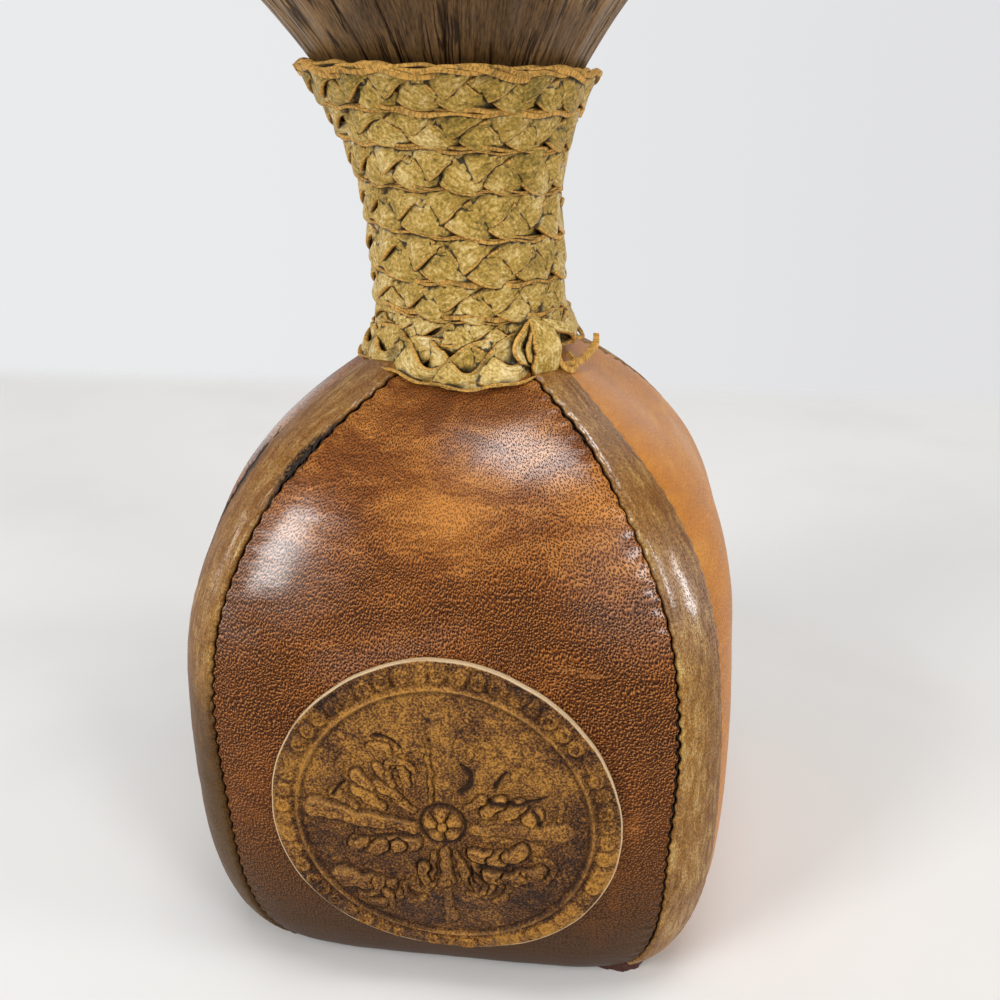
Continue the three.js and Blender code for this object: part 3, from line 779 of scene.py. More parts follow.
class Wire:
    """A socket of a shader tree. Arithmetic adds Math nodes, and node() adds any other node."""

    def __init__(self, tree, socket=None):
        self.tree = tree
        self.socket = socket

    def node(self, kind, options=None, sockets=None, output=0):
        made = self.tree.nodes.new("ShaderNode" + kind)
        for name, value in (options or {}).items():
            setattr(made, name, value)
        for key, value in (sockets or {}).items():
            self.plug(made.inputs[key], value)
        return Wire(self.tree, made.outputs[output])

    def plug(self, socket, value):
        """Feeds a socket from a wire, a colour's name or a plain value."""
        if isinstance(value, Wire):
            self.tree.links.new(value.socket, socket)
        else:
            socket.default_value = tint(value) if isinstance(value, str) else value

    def math(self, operation, *values):
        return self.node("Math", {"operation": operation}, dict(enumerate(values)))

    def __add__(self, other):
        return self.math("ADD", self, other)

    __radd__ = __add__

    def __sub__(self, other):
        return self.math("SUBTRACT", self, other)

    def __rsub__(self, other):
        return self.math("SUBTRACT", other, self)

    def __mul__(self, other):
        return self.math("MULTIPLY", self, other)

    __rmul__ = __mul__

    def __abs__(self):
        return self.math("ABSOLUTE", self)

    def most(self, *others):
        """The largest of this and other values."""
        largest = self
        for other in others:
            largest = self.math("MAXIMUM", largest, other)
        return largest

    def rise(self, start, end):
        """0 below start, 1 above end, smooth between them."""
        sockets = {"Value": self, "From Min": start, "From Max": end}
        return self.node("MapRange", {"interpolation_type": "SMOOTHSTEP"}, sockets)

    def spread(self, low, high):
        """Stretches 0 to 1 over low to high."""
        return self * (high - low) + low

    def blend(self, first, second):
        """Goes from a first colour to a second one as this goes from 0 to 1."""
        return self.node("Mix", {"data_type": "RGBA"}, {0: self, 6: first, 7: second}, 2)

    def darken(self, shade):
        return self.blend(shade, BLACK)


class Finish:
    """A material: its slot's name, its coordinates, its patterns and its surface shader."""

    def __init__(self, name):
        self.name = name
        self.material = bpy.data.materials.new(name)
        self.material.use_nodes = True
        self.shader = self.material.node_tree.nodes["Principled BSDF"]
        self.wire = Wire(self.material.node_tree)
        self.place = self.wire.node("TexCoord", output="Object")
        self.chart = self.wire.node("TexCoord", output="UV")

    def axis(self, name):
        return self.wire.node("SeparateXYZ", sockets={0: self.place}, output=name)

    def mark(self, name):
        return self.wire.node("Attribute", {"attribute_name": name}, output="Fac")

    def vector(self, operation, *values, output=0):
        return self.wire.node("VectorMath", {"operation": operation}, dict(enumerate(values)), output)

    def stretched(self, vector, x, y, z=1.0):
        return self.wire.node("Mapping", sockets={"Vector": vector, "Scale": (x, y, z)})

    def noise(self, vector, scale, detail=3.0, roughness=0.55, distortion=0.0):
        sockets = {"Vector": vector, "Scale": scale, "Detail": detail}
        sockets.update(Roughness=roughness, Distortion=distortion)
        return self.wire.node("TexNoise", sockets=sockets)

    def streaks(self, vector, x, y, *values):
        """Noise stretched along an axis."""
        return self.noise(self.stretched(vector, x, y), 1.0, *values)

    def cells(self, vector, scale, dimensions="2D"):
        options = {"feature": "F1", "voronoi_dimensions": dimensions}
        return self.wire.node("TexVoronoi", options, {"Vector": vector, "Scale": scale}, "Distance")

    def bent(self, vector, scale, reach):
        """A vector pushed about by noise, so that patterns read from it look grown."""
        push = self.wire.node("TexNoise", sockets={"Vector": vector, "Scale": scale}, output="Color")
        push = self.vector("SUBTRACT", push, (0.5, 0.5, 0.5))
        return self.vector("ADD", vector, self.vector("MULTIPLY", push, (reach, reach, reach)))

    def spot(self, point, size):
        """1 at a point, falling smoothly to 0 at a distance, or at three along the axes; millimetres."""
        sizes = size if isinstance(size, tuple) else (size, size, size)
        middle, reach = (tuple(value * MM for value in values) for values in (point, sizes))
        away = self.vector("DIVIDE", self.vector("SUBTRACT", self.place, middle), reach)
        return self.vector("LENGTH", away, output="Value").rise(1.0, 0.0)

    def ramp(self, value, **stops):
        """Runs through named colours, each at its own value."""
        made = self.wire.node("ValToRGB", sockets={"Fac": value}, output="Color")
        elements = made.socket.node.color_ramp.elements
        while len(elements) < len(stops):
            elements.new(1.0)
        for element, (name, position) in zip(elements, stops.items()):
            element.position = position
            element.color = tint(name)
        return made

    def bump(self, height, distance):
        sockets = {"Strength": 1.0, "Distance": distance, "Height": height}
        return self.wire.node("Bump", sockets=sockets, output="Normal")

    def surface(self, **values):
        for name, value in values.items():
            self.wire.plug(self.shader.inputs[name.replace("_", " ")], value)
        return self


def pebbled_leather(name, shades, grain_depth, pit_shade, polish, painted_shading, gloss):
    """Polished leather with a pebble grain, clouded stains, pores with a painted lit rim, and painted shade
    in the seams and towards the bottom.
    """
    look = Finish(name)
    dark, plain, light, rim = shades
    up, aside = look.axis("Z"), look.axis("X")
    clouds = look.noise(look.place, 24.0, 4.0, 0.6)
    stains = look.noise(look.stretched(look.place, 1.0, 1.0, 2.2), 75.0, 5.0, 0.65, 0.6)
    fine = look.noise(look.chart, 16.0, 3.0, 0.6)
    wrinkles = look.streaks(look.bent(look.chart, 0.8, 0.5), 1.5, 7.0, 3.0, 0.6)
    seam = look.mark("seam")
    # Pores, rounder and apart near the top, each with a painted highlight on one side as its lit rim
    bent = look.stretched(look.bent(look.bent(look.chart, 1.2, 0.3), 5.0, 0.08), 1.1, 0.8)
    painted_lit_side = look.vector("ADD", bent, (-0.012, 0.02, 0.0))
    # A lighter patch high on the front, with fewer pores
    lighter_patch = look.spot((1, -46, 111), 20) + look.spot((30, -46, 110), 22) * 0.5
    strength = fine.rise(0.16, 0.46) * (1 - lighter_patch * 0.35)
    strength = strength * up.rise(2 * MM, 72 * MM).spread(0.1, 1.0)
    network = up.rise(118 * MM, 98 * MM)
    pits = (1 - look.cells(bent, 20.5).rise(0.14, network.spread(0.44, 0.57))) * strength
    rims = (1 - look.cells(painted_lit_side, 20.5).rise(0.16, 0.5)) * strength
    rims = rims * (1 - pits) * network.spread(0.4, 1.0)
    # Polished places that catch the lamps
    smooth_spot = look.spot((-30, -48, 101), 24).most(look.spot((-42, -50, 92), 20) * 0.7)
    shiny = (smooth_spot * wrinkles.rise(0.3, 0.62).spread(0.5, 1.0)).most(
        look.spot((14, -36, 119), 26) * 0.55,
        look.spot((37, -47, 99), 22),
        look.spot((36, -14, 128), 26),
        look.spot((-46, -14, 118), 30),
        clouds.rise(0.5, 0.75) * up.rise(20 * MM, 60 * MM) * 0.5,
    )
    # Tones, with painted light and shade for the wrinkles all over and for upright folds at the lower right
    # of the front
    folds = look.noise(look.stretched(look.place, 1.0, 1.0, 0.1), 150.0, 2.0, 0.5)
    folded = aside.rise(22 * MM, 36 * MM) * up.rise(74 * MM, 44 * MM)
    folded = folded * look.axis("Y").rise(-44 * MM, -54 * MM)
    tone = clouds * 0.4 + stains * 0.65 + (fine - 0.5) * 0.3 + wrinkles * 0.15 - 0.1
    # Painted shade: darker below the upper part of the side and more so towards the bottom, with a little
    # painted light at the top
    lower = up.rise(106 * MM, 97 * MM) * 0.1 + up.rise(60 * MM, 5 * MM) * 0.12
    upper = up.rise(114 * MM, 123 * MM) * 0.02
    tone = tone + (upper - lower) * painted_shading + lighter_patch * 0.17 + (folds - 0.56) * folded * 1.1
    base = look.ramp(tone, **{dark: 0.36, plain: 0.5, light: 0.66})
    # Painted shade at the heel
    base = (up.rise(60 * MM, 14 * MM) * painted_shading * 0.75).blend(base, "heel_shade")
    # Painted highlight on the lit side of each pore
    base = (rims * pit_shade * 0.8).blend(base, rim)
    base = (pits * pit_shade).blend(base, "chestnut_pit")
    scratch = look.spot((24.8, -56, 84.5), (3.8, 5, 0.6)).most(look.spot((29, -56, 83.5), (3.6, 5, 0.6)))
    base = (scratch * fine.rise(0.3, 0.6) * 0.6).blend(base, rim)
    height = fine * 0.3 + wrinkles * 0.8 - pits * (1 - smooth_spot * 0.7)
    return look.surface(
        # Painted shade in the seams' grooves
        Base_Color=seam.blend(base, "groove"),
        Roughness=stains.spread(0.3, 0.45) + pits * 0.12 + seam * 0.2,
        Specular_IOR_Level=gloss,
        Coat_Weight=shiny.rise(0.0, 0.8) * (1 - pits * (0.95 - smooth_spot * 0.6)) * polish,
        Coat_Roughness=0.2,
        Coat_IOR=1.68,
        Normal=look.bump(height, grain_depth),
    )


def strip_leather():
    """Thin strip leather, streaked along its length, browner on one half and towards the top, with painted
    shade low on the left and in its seams.
    """
    look = Finish("strip_leather")
    bent = look.bent(look.chart, 1.2, 0.12)
    streaks = look.streaks(bent, 9.0, 1.7, 8.0, 0.78, 0.5)
    patches = look.noise(look.chart, 0.9, 4.0, 0.6)
    fibres = look.streaks(bent, 34.0, 18.0, 3.0, 0.65)
    seam = look.mark("seam")
    torn = look.mark("torn").rise(0.0, 0.7) * fibres.rise(0.75, 0.45)
    up = look.axis("Z")
    # Painted shade on the low part of the left strips
    shaded = look.axis("X").rise(0.0, -40 * MM) * up.rise(90 * MM, 45 * MM)
    upper = up.rise(76 * MM, 106 * MM)
    brown = look.mark("brown") * patches.rise(0.32, 0.52)
    # The lip along each edge: a little lighter, as wear and painted highlight, and turned dark as painted
    # shade where the strip is shaded
    worn = look.mark("worn") * (patches.rise(0.4, 0.6) - shaded * 2)
    tone = streaks * 0.6 + patches * 0.4 + worn * 0.08 - shaded * 0.28 - upper * 0.02
    base = look.ramp(tone, strip_dark=0.33, strip=0.5, strip_light=0.7)
    base = (brown * streaks.rise(0.7, 0.35) * 0.9).most(upper * 0.3).blend(base, "strip_brown")
    base = (shaded * 0.5).blend(base, "strip_olive")
    base = (fibres.rise(0.62, 0.4) * 0.5).darken(base)
    # Painted shade in the seams' grooves and where a seam has come apart
    base = seam.blend(torn.blend(base, "groove"), "groove")
    shine = (streaks.rise(0.4, 0.6) * (1 - brown * 0.6) * 0.4).most(
        look.spot((46, -47, 97), (20, 20, 24)) * streaks.rise(0.28, 0.5), look.spot((28, -30, 125), 19)
    )
    return look.surface(
        Base_Color=base,
        Roughness=streaks.spread(0.3, 0.5) + seam * 0.3,
        Specular_IOR_Level=0.12,
        Coat_Weight=shine * (1 - fibres.rise(0.55, 0.4) * 0.7) * (1 - shaded) * (1 - torn),
        Coat_Roughness=0.21,
        Coat_IOR=2.0,
        Normal=look.bump(fibres * 0.7 + streaks * 0.9, 0.14 * MM),
    )


def waxed_thread():
    look = Finish("waxed_thread")
    twist = look.noise(look.place, 1800.0, 2.0)
    return look.surface(
        Base_Color=twist.blend("groove", "thread"),
        Roughness=twist.spread(0.45, 0.75),
        Normal=look.bump(twist, 0.12 * MM),
    )


def base_leather():
    look = Finish("base_leather")
    clouds = look.noise(look.place, 80.0, 5.0, 0.65)
    fibres = look.noise(look.place, 1400.0, 3.0)
    return look.surface(
        Base_Color=(fibres.rise(0.6, 0.35) * 0.5).darken((clouds * 0.45).darken("base")),
        Roughness=fibres.spread(0.6, 0.9),
        Normal=look.bump(fibres, 0.3 * MM),
    )


def medallion_leather():
    """Embossed leather, speckled golden where it is worn, lighter on its raised parts as wear and painted
    highlight and towards the top as painted light, with painted highlights along its outlines and painted
    shade in its recesses.
    """
    look = Finish("medallion_leather")
    mottle = look.noise(look.place, 170.0, 5.0, 0.7)
    specks = look.noise(look.place, 2300.0, 2.0, 0.6)
    flecks = look.noise(look.place, 560.0, 3.0, 0.6)
    patches = look.noise(look.place, 55.0, 3.0)
    # Painted light: lighter towards the top
    painted_light_top = look.axis("Z").rise(25 * MM, 80 * MM) * 0.12
    # Raised parts a little lighter, as wear and painted highlight on the relief
    tone = mottle * 0.4 + patches * 0.25 + (specks.rise(0.3, 0.7) - 0.5) * 0.24 + look.mark("relief") * 0.14
    tone = tone + painted_light_top + 0.1 - look.mark("stain") * 0.11 + (flecks - 0.5) * 0.3
    base = look.ramp(tone, medallion_dark=0.36, medallion=0.5, medallion_gold=0.66)
    # Painted highlight along the outlines
    base = (look.mark("lit") * 0.5).blend(base, "medallion_lit")
    # Painted shade in the recesses
    base = (look.mark("recess") * 0.95).blend(base, "medallion_dark")
    return look.surface(
        Base_Color=look.mark("rim").blend(base, "medallion_edge"),
        Roughness=mottle.spread(0.36, 0.6),
        Specular_IOR_Level=0.16,
        Normal=look.bump(specks + mottle * 0.5, 0.35 * MM),
    )


def sleeve_leather():
    """Gathered leather with fibrous streaks running up the mouth, a painted sheen at its sides and painted
    shade in its creases.
    """
    look = Finish("sleeve_leather")
    streaks = look.streaks(look.chart, 4.0, 0.6, 4.0, 0.55, 0.25)
    fibres = look.streaks(look.chart, 30.0, 6.0, 3.0, 0.7)
    patches = look.noise(look.chart, 0.8, 3.0)
    lines = look.streaks(look.bent(look.chart, 1.5, 0.1), 5.0, 0.25, 2.0, 0.6)
    cracks = (1 - abs(lines - 0.5).rise(0.01, 0.04)) * patches.rise(0.4, 0.52)
    hairs = look.streaks(look.bent(look.chart, 2.0, 0.06), 14.0, 0.6, 2.0, 0.6)
    hairs = 1 - abs(hairs - 0.5).rise(0.01, 0.05)
    # Painted sheen: lighter towards the left and right sides
    sides = abs(look.axis("X")).rise(12 * MM, 34 * MM)
    tone = streaks * 0.35 + fibres * 0.3 + patches * 0.35 + sides * 0.2 - 0.06
    base = look.ramp(tone, sleeve_dark=0.3, sleeve=0.5, sleeve_light=0.7)
    base = (fibres.rise(0.55, 0.38) * 0.2 + hairs * 0.4).darken(base)
    # Painted shade in the creases of the gathers
    base = (look.mark("crease").rise(0.4, 0.9) * 0.85).blend(base, "groove")
    return look.surface(
        Base_Color=(cracks * 0.85).blend(base, "groove"),
        Roughness=streaks.spread(0.3, 0.5),
        Specular_IOR_Level=0.15,
        Coat_Weight=streaks.rise(0.3, 0.6) * (1 - cracks) * 0.22,
        Coat_Roughness=0.3,
        Normal=look.bump(streaks * 0.8 + fibres * 0.5 - cracks, 0.3 * MM),
    )


def braid_leather():
    """Strap leather: olive gold faces with a suede nap, brighter ribbed cut edges, and painted shade where
    the straps cover each other.
    """
    look = Finish("braid_leather")
    raw = look.mark("raw")
    # Painted shade where a strap dives under the next and where the straps around shelter it
    painted_shade = look.mark("under").most(look.mark("shelter").rise(0.13, 0.54) * 0.95) * (1 - raw * 0.5)
    patches = look.noise(look.place, 150.0, 5.0, 0.65)
    clouds = look.noise(look.place, 55.0, 3.0)
    nap = look.noise(look.place, 1700.0, 2.0, 0.6)
    ribs = look.streaks(look.chart, 24.0, 2.0, 2.0)
    veins = look.streaks(look.chart, 5.0, 22.0, 4.0, 0.65, 0.8)
    up = look.axis("Z")
    mossy = up.rise(170 * MM, 180 * MM) * 0.05 - up.rise(146 * MM, 134 * MM) * 0.04
    tone = patches * 0.4 + clouds * 0.25 + veins * 0.35 + (nap - 0.5) * 0.4 - mossy
    face = look.ramp(tone, braid_dark=0.37, braid=0.5, braid_light=0.66)
    face = (veins.rise(0.44, 0.34) * 0.25).darken(face)
    edge = (ribs.rise(0.6, 0.38) * 0.5 + patches.rise(0.5, 0.3) * 0.3).darken("braid_raw")
    return look.surface(
        Base_Color=painted_shade.blend(raw.rise(0.3, 0.6).blend(face, edge), "braid_deep"),
        Roughness=patches.spread(0.3, 0.6) + raw * 0.2,
        Specular_IOR_Level=0.25,
        Coat_Weight=patches.rise(0.5, 0.66) * (1 - raw) * nap.rise(0.3, 0.6),
        Coat_Roughness=0.25,
        Normal=look.bump(nap * 0.4 + patches * 0.6 + veins * 0.8 + ribs * raw * 0.7, 0.3 * MM),
    )


def cork_grain():
    look = Finish("cork")
    pores = 1 - look.cells(look.stretched(look.place, 1.0, 1.0, 0.55), 420.0, "3D").rise(0.08, 0.3)
    patches = look.noise(look.place, 260.0, 4.0, 0.6)
    base = (patches.rise(0.75, 0.3) * 0.4).darken("cork")
    return look.surface(
        Base_Color=(pores * patches.rise(0.4, 0.6)).blend(base, "cork_dark"),
        Roughness=patches.spread(0.75, 0.95),
        Normal=look.bump(patches * 0.4 - pores, 0.35 * MM),
    )


def wood_grain(name, plain, dark, coat):
    look = Finish(name)
    rings = look.noise(look.stretched(look.place, 1.0, 1.0, 0.12), 240.0, 4.0, 0.6, 0.8)
    fibres = look.noise(look.stretched(look.place, 1.0, 1.0, 0.06), 1500.0, 3.0, 0.6)
    base = look.ramp(rings, **{dark: 0.36, plain: 0.62})
    return look.surface(
        Base_Color=(fibres.rise(0.6, 0.36) * 0.45).darken(base),
        Roughness=fibres.spread(0.3, 0.5),
        Normal=look.bump(fibres * 0.5 + rings * 0.3, 0.12 * MM),
        Coat_Weight=coat,
        Coat_Roughness=0.18,
    )


def bottle_glass():
    look = Finish("bottle_glass")
    waves = look.noise(look.place, 60.0, 2.0)
    return look.surface(
        Base_Color=(waves * 0.3).blend("glass", (0.62, 0.78, 0.7, 1.0)),
        Roughness=waves.spread(0.02, 0.07),
        Normal=look.bump(waves, 0.5 * MM),
        Transmission_Weight=1.0,
        IOR=1.5,
    )


# Body leather


def from_edges(near, columns):
    """Distances of a band's columns from its nearer edge, all alike beyond the columns near it."""
    inside = np.full(columns, near[-1])
    inside[: len(near)] = near
    inside[-len(near) :] = near[::-1]
    return inside


def rolled_edge(inside, depth, radius):
    """Height of leather that rolls down by a depth over a radius as it comes to its edge."""
    fall = np.clip(1 - inside / radius, 0, 1)
    return -depth * (1 - np.sqrt(1 - fall**2))


def make_panel(name, corner, look):
    """A panel between two corners: bellied leather whose edges roll down into the seams."""
    body = settings().body
    z, way, tuck = side_rows(PANEL_ROWS)
    t = np.linspace(-1, 1, PANEL_EDGE_COLUMNS)
    near = 3.2 * MM * t * np.abs(t)
    seams = ((corner, 1), ((corner + 1) % 4, -1))
    lines = [strip_half_width(z) + seam_stray(*seam, way) + seam_gap(*seam, way) for seam in seams]
    left = corner_angle(corner, lines[0] + near, z)
    right = corner_angle(corner + 1, -(lines[1] + near[::-1]), z)
    across = np.linspace(0, 1, PANEL_MIDDLE_COLUMNS + 2)[1:-1]
    middle = left[:, -1:] + (right[:, :1] - left[:, -1:]) * across
    angle = np.concatenate((left, middle, right), axis=1)
    inside = from_edges(near, angle.shape[1])
    pull = 0.16 * MM * hump(np.clip(inside, 0, None), 0, near[-1])
    pucker = pull * np.cos(TURN * way / body.stitch_pitch + 0.7)
    roll = rolled_edge(inside, body.seam_depth, 0.7 * MM)
    points = jacket_point(angle, z, roll + np.where(inside > 0, pucker, 0), tuck)
    # Where the edge rolls down into the seam; the finish paints it dark as shade
    seam = ease(0.75, 1.1, -roll / body.seam_depth + 0.35)
    uv = chart((angle - angle.mean()) * 1.05 * body.half_width, way, angle.shape)
    uv[..., 0] += 20.0 * corner
    piece = laid_grid(name + "_leather", points, uv, {"seam": seam})
    dent(piece, *HOLLOWS)
    give_thickness(piece, body.panel_thickness)
    finish(piece, look, name)


def make_strip(name, corner, look):
    """A corner strip: a narrow crowned band with scalloped edges, a little proud of the panels."""
    body = settings().body
    z, way, tuck = side_rows(STRIP_ROWS)
    edge = np.array((0.0, 0.03, 0.1, 0.24, 0.45, 0.8)) * MM
    half = strip_half_width(z)
    low = -(half + seam_stray(corner, -1, way))
    high = half + seam_stray(corner, 1, way)
    inner_low, inner_high = low + edge[-1], high - edge[-1]
    middle = (inner_low + inner_high) / 2 + (inner_high - inner_low) / 2 * np.linspace(-1, 1, 16)[1:-1]
    distance = np.concatenate((low + edge, middle, high - edge[::-1]), axis=1)
    columns = distance.shape[1]
    inside = from_edges(edge, columns)
    depths = np.full(columns, body.seam_depth)
    for side, part in ((-1, slice(0, columns // 2)), (1, slice(columns // 2, columns))):
        if (corner, side) in TIGHT_SEAMS:
            depths[part] = body.strip_lift + 0.25 * MM
    roll = rolled_edge(inside, depths, edge[-1])
    crown = 0.25 * MM * (1 - (distance / np.maximum(high, -low)) ** 2)
    points = jacket_point(corner_angle(corner, distance, z), z, body.strip_lift + crown + roll, tuck)
    uv = chart(distance, way, distance.shape)
    uv[..., 0] += 3.0 * corner
    away_from_front = 1 if corner in (0, 3) else -1
    torn = frayed(corner, -1, way) * (1 - ease(0, 3.2 * MM, distance - low))
    torn = torn + frayed(corner, 1, way) * (1 - ease(0, 1.8 * MM, high - distance))
    marks = {
        # Where the edge rolls down into the seam; the finish paints it dark as shade
        "seam": ease(0.45, 0.95, -roll / body.seam_depth),
        # The lip along each edge, which the finish lightens as wear and painted highlight
        "worn": hump(inside, 0.45 * MM, 0.4 * MM),
        "brown": ease(-0.2, 0.35, away_from_front * distance / half),
        "torn": torn,
    }
    piece = laid_grid(name + "_leather", points, uv, marks)
    dent(piece, *HOLLOWS)
    dent(piece, *RIPPLES)
    give_thickness(piece, body.strip_thickness)
    finish(piece, look, name)


def bead(name, around, along):
    """A unit bead along X that is copied along a line."""
    piece = added(name, bpy.ops.mesh.primitive_uv_sphere_add, segments=around, ring_count=along, radius=1)
    edit(piece, lambda: bpy.ops.transform.rotate(value=QUARTER, orient_axis="Y", center_override=(0, 0, 0)))
    return piece


def copies(pattern, frames):
    """Copies of a piece, one for each frame of origin, along, across and out, in one mesh."""
    points = coordinates(pattern.data)
    faces = [tuple(face.vertices) for face in pattern.data.polygons]
    laid = [origin + points @ np.stack(axes) for origin, *axes in frames]
    count = len(points)
    shifted = [tuple(i + count * k for i in face) for k in range(len(frames)) for face in faces]
    mesh = bpy.data.meshes.new(pattern.name)
    mesh.from_pydata(np.concatenate(laid).tolist(), [], shifted)
    bpy.data.objects.remove(pattern)
    piece = bpy.data.objects.new(mesh.name, mesh)
    bpy.context.scene.collection.objects.link(piece)
    return piece


class SeamLine:
    """A line at close steps along a strip's edge, moved into a share of its gap and lifted."""

    def __init__(self, corner, side, gap_share, lift):
        z, way, tuck = side_rows(SEAM_ROWS)
        distance = strip_half_width(z) + seam_stray(corner, side, way)
        distance = side * (distance + gap_share * seam_gap(corner, side, way))
        angle = corner_angle(corner, distance, z)
        self.way = way[:, 0]
        self.points = jacket_point(angle, z, lift, tuck)[:, 0]
        self.outs = body_normal(angle, z)[:, 0]

    def at(self, way):
        """The point at a way up the side, and the directions along, across and out."""
        k = int(np.searchsorted(self.way, way))
        along = unit(self.points[k + SEAM_REACH] - self.points[k - SEAM_REACH])
        return self.points[k], along, np.cross(self.outs[k], along), self.outs[k]


def make_seam(corner, side, look):
    """The stitches of one seam, lying in its groove."""
    body = settings().body
    name = f"{STRIPS[corner]}_seam_{1 if side < 0 else 2}"
    line = SeamLine(corner, side, 0.5, -0.9 * MM)
    half, thick = 0.56 * body.stitch_pitch, body.thread / 2
    frames = []
    stops = np.arange(body.stitch_pitch, line.way[-1] - body.stitch_pitch, body.stitch_pitch)
    for k, stop in enumerate(stops):
        point, along, across, out = line.at(stop)
        slanted = along + 0.12 * (-1) ** k * across
        frames.append((point, slanted * half, across * thick, out * thick))
    piece = copies(bead(name + "_stitches", 8, 6), frames)
    finish(piece, look, name, angle=180)


def make_fibres(look):
    """Loose fibres along the two frayed edges of the front left strip."""
    generator = np.random.default_rng(5)
    frames = []
    for side, middle, spread, count in FIBRES:
        line = SeamLine(FRAYED_CORNER, side, 0.0, 0.35 * MM)
        for _ in range(count):
            point, along, across, out = line.at((middle + spread * generator.normal(0, 0.5)) * MM)
            lean = side * generator.uniform(-0.2, 0.7)
            heading = unit(along + across * lean + out * generator.uniform(0.0, 0.3))
            aside = np.cross(out, heading)
            long = generator.uniform(0.7, 2.0) * MM
            thick = generator.uniform(0.05, 0.1) * MM
            origin = point - across * side * generator.uniform(0.0, 0.9) * MM
            frames.append((origin, heading * long, aside * thick, np.cross(heading, aside) * thick))
    piece = copies(bead("frayed_fibres", 5, 4), frames)
    finish(piece, look, angle=180)


def make_base(look):
    """The leather under the bottle, cut by hand a little inside the heel."""
    add_circle = bpy.ops.mesh.primitive_circle_add
    piece = added("base_leather_patch", add_circle, vertices=720, radius=1, fill_type="NGON")
    start = coordinates(piece.data)
    angle = np.arctan2(start[:, 1], start[:, 0])
    front_right, front_left = math.radians(-45), math.radians(-135)
    shown = 5.6 * hump(angle, front_right - 0.06, 0.24) + 4.2 * hump(angle, front_left + 0.04, 0.14)
    inset = (3.2 - shown) * MM
    ragged = 0.35 * MM * waver(angle * 40, 1) + 0.3 * MM * waver(angle * 130, 2)
    r = body_radius(angle, settings().body.floor) - inset + ragged
    set_coordinates(piece.data, np.stack((r * np.cos(angle), r * np.sin(angle), 0 * r), axis=-1))
    top = (0, 0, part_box("base_patch")[1].z)
    extrude = bpy.ops.mesh.extrude_region_move
    edit(piece, lambda: extrude(TRANSFORM_OT_translate={"value": top}), select_all, face_outwards)
    apply_modifier(piece, "BEVEL", width=0.5 * MM, segments=2, limit_method="ANGLE")
    finish(piece, look, "base_patch")


# Medallion


def curl(x, y, heading, reach, bend):
    """Points of a stroke that leaves a point at a heading and bends evenly, in millimetres and degrees."""
    points = [(x, y)]
    for k in range(STROKE_STEPS):
        turn = math.radians(heading + bend * (k + 0.5) / STROKE_STEPS)
        x += reach / STROKE_STEPS * math.cos(turn)
        y += reach / STROKE_STEPS * math.sin(turn)
        points.append((x, y))
    return np.array(points)


def nearness(x, y, stroke, spread=1.0):
    """Distance from a tapering stroke, in shares of the stroke's own half width."""
    line = curl(*stroke[:5])
    first, last = spread * stroke[5], spread * stroke[6]
    nearest = np.full_like(x, np.inf)
    for k in range(STROKE_STEPS):
        start, along = line[k], line[k + 1] - line[k]
        t = np.clip(((x - start[0]) * along[0] + (y - start[1]) * along[1]) / (along @ along), 0, 1)
        distance = np.hypot(x - start[0] - t * along[0], y - start[1] - t * along[1])
        run = (k + t) / STROKE_STEPS
        lobes = 1 + 0.12 * np.sin(TURN * 2.3 * run + stroke[0])
        nearest = np.minimum(nearest, distance / ((first + (last - first) * run) * lobes))
    return nearest


def rosette(x, y):
    """Relief, recesses and painted lit outlines of the ornament, from 0 to 1, on a plane in millimetres."""
    bend_x = x + 0.45 * waver(y / 1.9, 1) + 0.25 * waver(x / 1.1 + y / 1.4, 4)
    bend_y = y + 0.45 * waver(x / 1.9, 2) + 0.25 * waver(y / 1.1 - x / 1.4, 5)
    height, outline, lit = np.zeros((3, *x.shape))
    for stroke in STROKES:
        full = stroke[-1]
        near = nearness(bend_x, bend_y, stroke, STROKE_SPREAD)
        inside = 1 - ease(0.55, 1.05, near)
        groove = full * bell(near - 1.2, 0.22)
        height = np.maximum(height * (1 - groove), full * (0.7 * inside + 0.35 * bell(near - 0.8, 0.2)))
        outline = np.maximum(outline * (1 - inside), groove)
        lit = np.maximum(lit * (1 - inside), full * bell(near - 0.85, 0.16))
    return height, outline, lit


